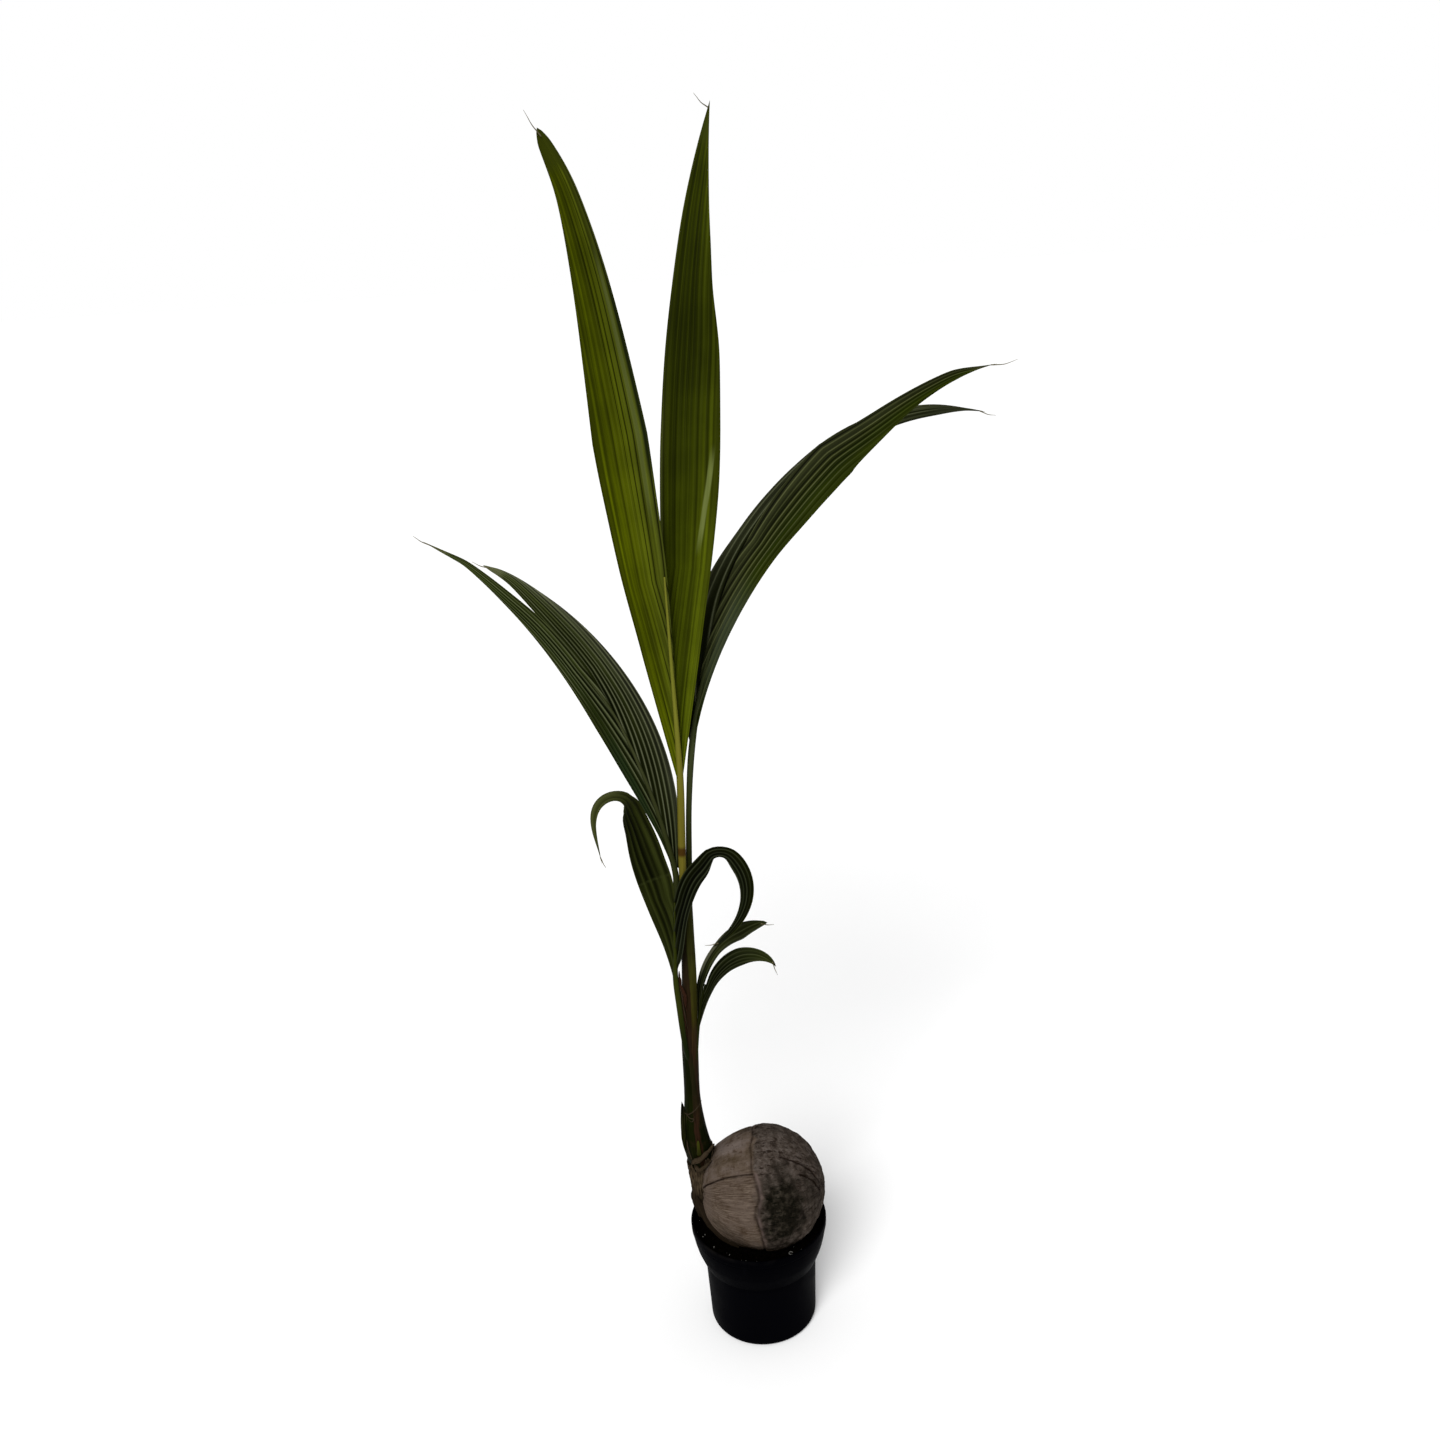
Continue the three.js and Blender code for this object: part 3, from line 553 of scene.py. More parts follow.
class Shader:
    """A material that short calls build up."""

    def __init__(self, name, roughness=0.5, specular=0.3):
        self.material = bpy.data.materials.new(name)
        self.material.use_nodes = True
        self.tree = self.material.node_tree
        self.surface = self.tree.nodes["Principled BSDF"]
        self.surface.inputs["Roughness"].default_value = roughness
        self.surface.inputs["Specular IOR Level"].default_value = specular

    def node(self, kind, output=0, settings=None, **inputs):
        made = self.tree.nodes.new("ShaderNode" + kind)
        for key, value in (settings or {}).items():
            setattr(made, key, value)
        for key, value in inputs.items():
            slot = made.inputs[int(key[1:])] if key[1:].isdigit() else made.inputs[key.replace("_", " ")]
            self.put(slot, value)
        return made.outputs[output]

    def put(self, slot, value):
        if isinstance(value, bpy.types.NodeSocket):
            self.tree.links.new(value, slot)
        else:
            slot.default_value = value

    def set(self, name, value):
        self.put(self.surface.inputs[name], value)

    def math(self, operation, a, b=0.0, c=0.0):
        return self.node("Math", settings={"operation": operation}, i0=a, i1=b, i2=c)

    def times(self, a, b):
        return self.math("MULTIPLY", a, b)

    def apart(self, a, b):
        return self.math("ABSOLUTE", self.math("SUBTRACT", a, b))

    def axes(self, vector):
        split = self.tree.nodes.new("ShaderNodeSeparateXYZ")
        self.put(split.inputs[0], vector)
        return split.outputs

    def join(self, x, y, z=0.0):
        return self.node("CombineXYZ", i0=x, i1=y, i2=z)

    def scaled(self, vector, x, y, z):
        return self.node("VectorMath", settings={"operation": "MULTIPLY"}, i0=vector, i1=(x, y, z))

    def noise(self, vector, scale, detail=3.0, rough=0.5):
        return self.node("TexNoise", Vector=vector, Scale=scale, Detail=detail, Roughness=rough)

    def streaks(self, around, along, around_scale, along_scale, detail, shift=0.0):
        """Noise that is drawn out along a blade or limb."""
        place = self.join(self.times(around, around_scale), self.times(along, along_scale), shift)
        return self.noise(place, 1.0, detail)

    def span(self, value, low, high, to_low=0.0, to_high=1.0):
        made = self.tree.nodes.new("ShaderNodeMapRange")
        made.interpolation_type = "SMOOTHSTEP"
        for slot, item in zip(made.inputs, (value, low, high, to_low, to_high)):
            self.put(slot, item)
        return made.outputs[0]

    def mix(self, share, a, b, blend="MIX"):
        made = self.tree.nodes.new("ShaderNodeMix")
        made.data_type = "RGBA"
        made.blend_type = blend
        self.put(made.inputs[0], share)
        self.put(made.inputs[6], a)
        self.put(made.inputs[7], b)
        return made.outputs[2]

    def tinge(self, base, value, low, high, share, colour):
        """The base with up to a share of a colour in it, where the value goes from low to high."""
        return self.mix(self.span(value, low, high, 0.0, share), base, colour)

    def shade(self, base, light):
        return self.mix(1.0, base, light, "MULTIPLY")

    def ramp(self, value, stops):
        made = self.tree.nodes.new("ShaderNodeValToRGB")
        elements = made.color_ramp.elements
        while len(elements) < len(stops):
            elements.new(0.5)
        for element, (position, colour) in zip(elements, stops):
            element.position = position
            element.color = colour
        self.put(made.inputs[0], value)
        return made.outputs[0]

    def bump(self, height, distance, strength=1.0, before=None):
        made = self.tree.nodes.new("ShaderNodeBump")
        made.inputs["Strength"].default_value = strength
        made.inputs["Distance"].default_value = distance
        self.put(made.inputs["Height"], height)
        if before is not None:
            self.put(made.inputs["Normal"], before)
        return made.outputs[0]

    def place(self):
        return self.node("TexCoord", output=3)

    def uv(self, name):
        return self.node("UVMap", settings={"uv_map": name})


# Camera, light and floor.
def make_camera():
    forward = Vector((0, math.cos(PITCH), -math.sin(PITCH)))
    up = Vector((0, math.sin(PITCH), math.cos(PITCH)))
    right = Vector((1, 0, 0))
    across = right * math.cos(ROLL) - up * math.sin(ROLL)
    upright = right * math.sin(ROLL) + up * math.cos(ROLL)
    data = bpy.data.cameras.new("camera")
    data.sensor_width = SENSOR_MM
    data.lens = FOCAL_PIXELS / FRAME_PIXELS * SENSOR_MM
    camera = bpy.data.objects.new("camera", data)
    turn = Matrix((across, upright, -forward)).transposed()
    camera.matrix_world = Matrix.Translation(EYE) @ turn.to_4x4()
    bpy.context.scene.collection.objects.link(camera)
    bpy.context.scene.camera = camera


def make_studio():
    scene = bpy.context.scene
    scene.view_settings.view_transform = "Standard"
    world = bpy.data.worlds.new("world")
    world.use_nodes = True
    tree = world.node_tree
    background = tree.nodes["Background"]
    background.inputs[0].default_value = (1, 1, 1, 1)
    seen = tree.nodes.new("ShaderNodeLightPath")
    strength = tree.nodes.new("ShaderNodeMapRange")
    strength.inputs["To Min"].default_value = SKY_LIGHT
    tree.links.new(seen.outputs["Is Camera Ray"], strength.inputs["Value"])
    tree.links.new(strength.outputs[0], background.inputs["Strength"])
    scene.world = world
    sun = bpy.data.lights.new("key", "SUN")
    sun.energy = KEY_LIGHT
    sun.angle = KEY_WIDTH
    key = bpy.data.objects.new("key", sun)
    key.rotation_euler = KEY_DIRECTION.to_track_quat("-Z", "Y").to_euler()
    scene.collection.objects.link(key)
    bpy.ops.mesh.primitive_plane_add(size=FLOOR_SIZE, location=(0, 0, FLOOR_LEVEL))
    floor = bpy.context.object
    floor.name = "floor"
    pale = Shader("pale_floor", roughness=0.9, specular=0.1)
    speckle = pale.noise(pale.place(), 3.0)
    pale.set("Base Color", pale.mix(speckle, (0.93, 0.93, 0.93, 1), (0.96, 0.96, 0.96, 1)))
    floor.data.materials.append(pale.material)


# Leaf blades.
def direction(part, t):
    """Where a blade points at each share t of its length."""
    elevation = np.radians(part["rise"] - part["droop"] * t ** part["bend"])
    heading = np.radians(part["heading"] + part["sweep"] * t)
    level = np.cos(elevation)
    return np.stack([level * np.cos(heading), level * np.sin(heading), np.sin(elevation)], -1)


def width_at(part, t):
    rising = np.sin(np.pi / 2 * t / max(part["widest"], 1e-6))
    growing = part["foot"] + (1 - part["foot"]) * rising
    past = np.clip((t - part["widest"]) / (1 - part["widest"]), 0, 1)
    end = part.get("end", 0)
    power, round_off = part["tip"]
    closing = end + (1 - end) * (1 - past ** power) ** round_off
    return part["width"] * np.where(t < part["widest"], growing, closing)


def follow(part):
    """Points along a blade with the way across it, the way its face looks, its width and its share."""
    steps = max(12, round(part["length"] / ROW_LENGTH))
    t = np.linspace(0, 1, steps + 1)
    step = direction(part, (t[:-1] + t[1:]) / 2) * part["length"] / steps
    line = np.array(part["foot_at"], float) + np.concatenate([np.zeros((1, 3)), np.cumsum(step, 0)])
    tangent = direction(part, t)
    heading = np.radians(part["heading"] + part["sweep"] * t)
    level = np.stack([-np.sin(heading), np.cos(heading), np.zeros_like(t)], -1)
    turn = np.radians(part["roll"][0] + (part["roll"][1] - part["roll"][0]) * t)[:, None]
    across = level * np.cos(turn) + np.cross(tangent, level) * np.sin(turn)
    return line, across, np.cross(tangent, across), width_at(part, t)


def curl_of(blade):
    """The part of a bent blade past its bend."""
    line = follow(blade)[0]
    return dict(
        blade["curl"],
        foot_at=line[-1].tolist(),
        rise=blade["rise"] - blade["droop"],
        heading=blade["heading"] + blade["sweep"],
        roll=[blade["roll"][1], blade["curl"]["roll"]],
        width=blade["width"] * blade["end"],
        widest=0,
        foot=1,
    )


def eased(t, rows):
    """Values between rows that start with their share t, without corners."""
    rows = np.array(rows, float)
    values = np.stack([np.interp(t, rows[:, 0], column) for column in rows[:, 1:].T], -1)
    near = bell(t[:, None] - t[None], 0.025)
    return near @ values / near.sum(1, keepdims=True)


def whole_blade(blade):
    """The line of a blade through its bend, and the share of its whole length at each point. bends moves
    the line, and edges moves the inner and the outer edge outwards."""
    runs = follow(blade)
    if "curl" in blade:
        curl = follow(curl_of(blade))
        runs = [np.concatenate([a[:-1], b]) for a, b in zip(runs, curl)]
    line, across, face, width = runs
    lengths = np.concatenate([[0], np.cumsum(np.linalg.norm(np.diff(line, axis=0), axis=1))])
    t = lengths / lengths[-1]
    line = line + eased(t, blade.get("bends", [[0, 0, 0, 0]]))
    out = eased(t, blade.get("edges", [[0, 0, 0]])) * np.minimum(1, width / 8)[:, None]
    line = line + across * blade["inner"] * (out[:, :1] - out[:, 1:]) / 2
    return line, across, face, width + out.sum(1), t


def fork_share(blade):
    """The fork's share of the whole length, with the part past a bend."""
    curl_length = blade["curl"]["length"] if "curl" in blade else 0
    return blade["fork"] * blade["length"] / (blade["length"] + curl_length)


def make_blade(name, blade, material, slot, nodes):
    """A thin pleated blade. The pleats leave the foot together, keep beside the inner edge and run out
    one by one at the outer edge, where it narrows. Returns a point near its tip."""
    line, across, face, width, t = whole_blade(blade)
    ribs, seed = blade["ribs"], blade["seed"]
    outer = np.where(t > t[np.argmax(width)], width / width.max(), 1.0) ** RUN_OUT
    inner_start = blade.get("start", 0.8) * np.clip(1 - t / fork_share(blade), 0, 1)
    count = ribs * (outer - inner_start * outer)[:, None]
    start = ribs * (inner_start * outer)[:, None]
    width = width[:, None]
    grid_t, grid_s = np.meshgrid(t, np.linspace(0, 1, ribs * COLUMNS_PER_RIB + 1), indexing="ij")
    phase = start + count * grid_s
    phase = phase + 0.12 * noise(np.stack([grid_t * 5, phase * 0.8, np.zeros_like(phase)], -1), seed)
    pitch = width / np.where(count > 0, count, 1)
    depth = np.minimum(PLEAT_DEPTH, 0.15 * pitch) * blade.get("pleat", 1)
    margin = smooth_step(0, 0.05, grid_s) * (1 - smooth_step(1 - PLAIN_MARGIN, 1, grid_s))
    crest = 0.5 + 0.5 * np.cos(2 * np.pi * phase)
    pleat = depth * margin * (crest + 0.7 * crest**6 - 0.6)
    trough = -FOLD * blade.get("trough", 1) * width / 2 * (1 - (2 * grid_s - 1) ** 2)
    ripple = noise(np.stack([grid_t * 9, grid_s * 1.5, np.full_like(phase, 7.0)], -1), seed) * 0.022 * width
    height = pleat + trough + ripple
    half = BLADE_THICKNESS / 2 * np.minimum(1, 0.35 + width / 12)
    middle = line[:, None] + across[:, None] * (blade["inner"] * (0.5 - grid_s) * width)[..., None]
    front = middle + face[:, None] * (height + half)[..., None]
    back = middle + face[:, None] * (height - half)[..., None]
    maps = {}
    for map_name, value in (("ribs", phase), ("span", grid_s)):
        side = np.stack([value, grid_t], -1)
        maps[map_name] = np.concatenate([side, side[:, ::-1], side[:, :1]], 1)
    points = np.concatenate([front, back[:, ::-1]], 1)
    fit(grid_piece(name, points, capped=True, maps=maps), material, slot, *nodes)
    return middle[-3, middle.shape[1] // 2]


def stripe_share(leaf, share, along, stripe):
    """How much of a stripe along the blade covers each place."""
    start, end = stripe["along"]
    lean = stripe.get("lean", 0)
    fade = stripe["fade"]
    middle = leaf.math("MULTIPLY_ADD", along, lean, stripe["at"] - lean * (start + end) / 2)
    half = stripe["half"]
    covered = leaf.span(leaf.apart(share, middle), half, half * 0.5, 0.0, stripe.get("depth", 1.0))
    covered = leaf.times(covered, leaf.span(along, start, start + fade))
    return leaf.times(covered, leaf.span(along, end, end - fade))


def leaf_material(
    name, zones, run, rib, tip, rib_and_sheen_share=0.6, valley_shade_share=1.0, stripes=(), fade=0.93, plain=(1, 1.2),
    ribbed=1.2, sharp=7.0,
):
    """Living leaf. zones are its colours from the inner edge to the outer, and run how bright it is from
    foot to tip, partly its own tone and partly painted light and shade, both as [share, value] rows. Thin
    pale lines lie on the crests of the pleats, partly the ribs' own colour and partly painted highlight
    where the crests catch light, and dark lines of painted shade lie in the valleys between them, stronger
    on some than on others and finer where sharp is high. They fade out over the span plain of the width,
    except past the share ribbed of the length. Past the share fade, the blade takes the colour of its dry
    tip. A stripe has a colour, the place at across the blade of its middle, half a width and the shares
    along the blade between which it lies. It may lean, and its ends fade."""
    leaf = Shader(name, 0.42, 0.008)
    across, along = leaf.axes(leaf.uv("ribs"))[:2]
    share = leaf.axes(leaf.uv("span"))[0]
    crest = leaf.math("MULTIPLY_ADD", leaf.math("COSINE", leaf.times(across, 2 * math.pi)), 0.5, 0.5)
    valley = leaf.math("SUBTRACT", 1.0, crest)
    band = leaf.streaks(across, along, 0.9, 1.5, 1.0)
    vein = leaf.streaks(across, along, 7.0, 3.0, 2.0)
    patch = leaf.noise(leaf.place(), 16.0, 3.0)
    sway = leaf.math("MULTIPLY_ADD", leaf.streaks(across, along, 0.4, 4.0, 1.0, 5.0), 0.16, -0.08)
    colour = leaf.ramp(leaf.math("ADD", share, sway), [(at, rgb(*shade)) for at, shade in zones])
    light = leaf.ramp(along, [(at, (value**SCREEN_GAMMA,) * 3 + (1,)) for at, value in run])
    light = leaf.shade(light, leaf.span(band, 0.33, 0.67, 0.66, 1.3))
    light = leaf.shade(light, leaf.span(vein, 0.3, 0.7, 0.78, 1.22))
    light = leaf.shade(light, leaf.span(patch, 0.3, 0.7, 0.84, 1.16))
    over_width = leaf.span(share, *plain, 1.0, 0.12)
    marked = leaf.math("MAXIMUM", over_width, leaf.span(along, ribbed, ribbed + 0.15))

    def uneven(lines, stretch, shift, least):
        strength = leaf.span(leaf.streaks(across, along, 1.0, stretch, 0.0, shift), 0.35, 0.6, least, 1.0)
        return leaf.times(lines, leaf.times(strength, marked))

    # Painted shade: dark lines in the valleys between the pleats.
    groove = uneven(leaf.math("POWER", valley, sharp * 0.6), 1.2, 9.0, 0.25)
    light = leaf.mix(leaf.times(groove, valley_shade_share), light, (0.12, 0.12, 0.12, 1))
    colour = leaf.shade(colour, light)
    for stripe in stripes:
        colour = leaf.mix(stripe_share(leaf, share, along, stripe), colour, rgb(*stripe["colour"]))
    # Pale lines on the crests: partly the ribs' own colour, partly painted highlight where the crests catch
    # light.
    line = uneven(leaf.math("POWER", crest, sharp), 1.6, 3.0, 0.3)
    colour = leaf.mix(leaf.times(line, rib_and_sheen_share), colour, rgb(*rib))
    dry = leaf.mix(leaf.times(valley, 0.5), rgb(*tip), colour)
    colour = leaf.mix(leaf.span(along, fade, (1 + 2 * fade) / 3), colour, dry)
    leaf.set("Base Color", colour)
    leaf.set("Roughness", leaf.span(vein, 0.2, 0.8, 0.36, 0.52))
    leaf.set("Normal", leaf.bump(vein, 0.0004, 0.4))
    return leaf.material


# Limbs.
def curve_through(stations, count):
    """Points and radii on a smooth curve through stations of x, y, z and radius."""
    knots = np.array(stations, float)
    gaps = np.linalg.norm(np.diff(knots[:, :3], axis=0), axis=1) ** 0.5
    at = np.concatenate([[0], np.cumsum(gaps)])
    slopes = np.gradient(knots, at, axis=0)
    u = np.linspace(0, at[-1], count)
    k = np.clip(np.searchsorted(at, u, side="right") - 1, 0, len(at) - 2)
    h = (at[k + 1] - at[k])[:, None]
    s = ((u - at[k]) / (at[k + 1] - at[k]))[:, None]
    a, b = knots[k], knots[k + 1]
    result = (
        (2 * s**3 - 3 * s**2 + 1) * a
        + (s**3 - 2 * s**2 + s) * h * slopes[k]
        + (3 * s**2 - 2 * s**3) * b
        + (s**3 - s**2) * h * slopes[k + 1]
    )
    return result[:, :3], result[:, 3]


def limb_frames(line):
    """The way across a limb to its right and the way to its rear at each point of its line."""
    tangent = unit(np.gradient(line, axis=0))
    rear = unit(np.array([0, 1, 0]) - tangent * tangent[:, 1:2])
    return np.cross(rear, tangent), rear


def tube_points(line, radii, sides):
    """A ring at each point of the line. Column 0 faces the viewer, and the ring runs to the right. radii has
    a row for each point, with one radius in it or one for each side."""
    right, rear = limb_frames(line)
    turn = turns(sides)
    spoke = right[:, None] * np.sin(turn)[:, None] - rear[:, None] * np.cos(turn)[:, None]
    return line[:, None] + spoke * radii[..., None]


def limb(name, line, points, material, slot, *nodes):
    """A piece of rings round a line, with both ends closed. Its map says where a point is round it, from 0
    to 1, and its height in metres."""
    height, around = np.meshgrid(line[:, 2] * MM, np.linspace(0, 1, points.shape[1] + 1), indexing="ij")
    piece = grid_piece(name, points, capped=True, maps={"around": np.stack([around, height], -1)})
    fit(piece, material, slot, *nodes)
    return piece


def make_petiole(name, leaf_name, material, slot, node):
    """A leaf stalk from the stem up between its two blades to their fork, just before their inner edges."""
    stations = list(STALKS[leaf_name])
    foot = stations[-1][3]
    blades = [blade for key, blade in BLADES.items() if key.startswith(leaf_name + "_leaf")]
    for share in (0.25, 0.5, 0.75, 1):
        edges = []
        for blade in blades:
            line, across, _, width, t = whole_blade(blade)
            i = np.argmin(np.abs(t - share * fork_share(blade)))
            edges.append(line[i] + across[i] * blade["inner"] * width[i] / 2)
        x, _, z = np.mean(edges, 0)
        front = min(edge[1] for edge in edges) - 1
        stations.append([x, front, z, foot + (PETIOLE_TIP - foot) * share**0.7])
    line, radii = curve_through(stations, PETIOLE_ROWS)
    turn = turns(PETIOLE_SIDES)
    groove = 1 - 0.1 * bell(turn - np.pi, 0.5) - 0.05 * np.abs(np.sin(2 * turn))
    limb(name, line, tube_points(line, radii[:, None] * groove, PETIOLE_SIDES), material, slot, node)


def stalk_material(name, heights, low, high, edge, spot=None):
    """A smooth stalk, paler on its face, with fine lines along it and on one a brown spot."""
    stalk = Shader(name, 0.4, 0.012)
    around, height = stalk.axes(stalk.uv("around"))[:2]
    lines = stalk.streaks(around, height, 26.0, 12.0, 2.0)
    colour = stalk.mix(stalk.span(height, *heights), rgb(*low), rgb(*high))
    colour = stalk.mix(stalk.span(stalk.apart(around, 0.5), 0.36, 0.25), colour, rgb(*edge))
    colour = stalk.tinge(colour, lines, 0.4, 0.7, 0.35, rgb(*edge))
    if spot:
        middle, half, shade = spot
        colour = stalk.mix(stalk.span(stalk.apart(height, middle), half, half / 3), colour, rgb(*shade))
    stalk.set("Base Color", colour)
    stalk.set("Normal", stalk.bump(lines, 0.0004, 0.5))
    return stalk.material


def make_hair(name, start, end, material, slot):
    """The dry thread that a blade's tip ends in."""
    start, end = np.array(start, float), np.array(end, float)
    t = np.linspace(0, 1, HAIR_ROWS)[:, None]
    reach = np.linalg.norm(end - start)
    bow = np.sin(np.pi * t) * np.array([0, 0, -0.06]) * reach
    curly = 0.03 * reach * np.sin(9 * t) * t * np.array([0.6, 0.2, 0.8])
    line = start + (end - start) * t + bow + curly * (1 - t)
    limb(name, line, tube_points(line, 0.85 - 0.65 * t, HAIR_SIDES), material, slot)


# Husked nut.
def nut_surface(share, angle):
    """A point on the nut's egg. share runs from -1 at the sprouting end to 1, and angle from 0, which
    faces the viewer, through 90 degrees at the top."""
    turn = np.radians(angle)
    ring = np.sqrt(np.clip(1 - share**2, 0, 1))
    ridge = 1 + NUT_RIDGE_HEIGHT * np.cos(NUT_RIDGES * np.arctan2(-np.cos(turn), np.sin(turn)))
    ridge -= NUT_FLAT * np.exp(-(((share - 0.6) / 0.26) ** 2) - ((angle - 82) / 42) ** 2)
    offset = np.stack([
        share * np.where(share < 0, NUT_LEFT, NUT_RIGHT),
        -np.cos(turn) * NUT_RADIUS * ridge * ring,
        np.sin(turn) * NUT_RADIUS * ridge * ring,
    ], -1)
    return NUT_CENTRE + offset


def distance_to_path(points, path):
    """How far each point is from a line drawn on the nut through [share, angle] marks."""
    marks = np.array(path, float)
    steps = np.linspace(0, len(marks) - 1, 12 * (len(marks) - 1) + 1)
    share, angle = (np.interp(steps, range(len(marks)), marks[:, i]) for i in (0, 1))
    spots = nut_surface(share, angle)
    best = np.full(len(points), np.inf)
    for start, end in zip(spots[:-1], spots[1:]):
        run = end - start
        along = np.clip((points - start) @ run / (run @ run + 1e-9), 0, 1)[:, None]
        best = np.minimum(best, np.linalg.norm(points - start - run * along, axis=1))
    return best


def nut_relief(points, share, angle):
    """How far the husk rises from the egg at each point, and how strong each mark is there."""
    turn = np.radians(angle)
    seam_share, seam_angle = zip(*NUT_SEAM)
    past_seam = share - np.interp(angle, seam_angle, seam_share)
    worn = smooth_step(0.0, 0.07, past_seam + 0.05 * noise(points / 9, 3))
    spin = np.stack([share * 7, np.cos(turn) * 16, np.sin(turn) * 16], -1)
    fibres = noise(spin * [1, 1.6, 1.6], 11) + 0.6 * noise(spin * [2.2, 4, 4], 12)
    lumps = noise(points / 34, 21) * 1.6 + noise(points / 13, 22) * 0.55 + noise(points / 6, 23) * 0.2
    rough = noise(points / 7, 31) * 0.5 + noise(points / 3, 32) * 0.22
    rough = rough + 0.35 * np.abs(noise(spin * [1.5, 2, 2], 34))
    height = lumps + 0.22 * fibres + 1.4 * rough * worn + 0.5 * worn
    below = smooth_step(55, 42, angle) * (1 - worn)
    height += below * (0.4 * noise(spin * [1.4, 2.4, 2.4], 14) - 0.3)
    crack = np.zeros(len(points))
    for path in NUT_CRACKS:
        gap = distance_to_path(points, path) * (1 + 0.5 * noise(points / 4, 41))
        height -= 1.6 * bell(gap, 1.0)
        crack = np.maximum(crack, bell(gap, 1.25))
    gap = distance_to_path(points, NUT_SEAM) * (1 + 0.6 * noise(points / 5, 42))
    low = smooth_step(52, 44, angle)
    height -= (0.9 + 0.9 * low) * bell(gap, 1.1 + 0.7 * low)
    crack = np.maximum(crack, (0.65 + 0.35 * noise(points / 9, 44)) * bell(gap, 1.5))
    gap = distance_to_path(points, NUT_LIP) + 0.8 * noise(points / 6, 43)
    lip = bell(gap, 2.6) * smooth_step(-45, -10, angle) * smooth_step(62, 48, angle)
    height += lip * (1.7 + 0.8 * noise(points / 4, 44))
    worn = worn * (1 - lip)
    for spot_share, spot_angle, reach, sink in NUT_DIMPLES:
        spot = nut_surface(np.array([spot_share]), np.array([spot_angle]))
        height -= sink * bell(np.linalg.norm(points - spot, axis=1), reach)
    folds = 0.5 + 0.5 * np.cos(turn * 11 + 1.5 * noise(points / 9, 51))
    height -= smooth_step(-0.9, -0.985, share) * (2.0 + 1.6 * folds) + smooth_step(-0.97, -1.0, share) * 4
    crack = np.maximum(crack, 0.8 * smooth_step(-0.955, -0.992, share))
    stained = np.zeros(len(points))
    for share_span, angle_span, depth in NUT_STAINS:
        along = (share - np.mean(share_span)) / np.ptp(share_span)
        around = (angle - np.mean(angle_span)) / np.ptp(angle_span)
        near = np.hypot(along, around) + 0.16 * noise(points / 7, 61)
        stained = np.maximum(stained, depth * smooth_step(0.75, 0.3, near))
    lined = smooth_step(60, 47, angle)
    return height, {"crack": crack, "worn": worn, "stained": stained, "lip": lip, "lined": lined}


def make_nut():
    theta = np.linspace(0, np.pi, NUT_ROWS)
    around = np.linspace(-90, 270, NUT_COLUMNS, endpoint=False)
    share, angle = (part.ravel() for part in np.meshgrid(-np.cos(theta), around, indexing="ij"))
    points = nut_surface(share, angle)
    outward = unit((points - NUT_CENTRE) / np.array([NUT_LEFT, NUT_RADIUS, NUT_RADIUS]) ** 2)
    height, marks = nut_relief(points, share, angle)
    points = points + outward * height[:, None]
    husk_map = np.stack([share, np.radians(angle)], -1).reshape(NUT_ROWS, NUT_COLUMNS, 2)
    husk_map = np.concatenate([husk_map, husk_map[:, :1] + [0, 2 * np.pi]], 1)
    nut = grid_piece("husked_nut", points.reshape(NUT_ROWS, NUT_COLUMNS, 3), maps={"husk": husk_map})
    for name, values in marks.items():
        layer = nut.data.attributes.new(name, "FLOAT", "POINT")
        layer.data.foreach_set("value", values.astype(np.float32))
    fit(nut, nut_material(), NODE_SLOTS["coconut_husk"], "coconut_husk")


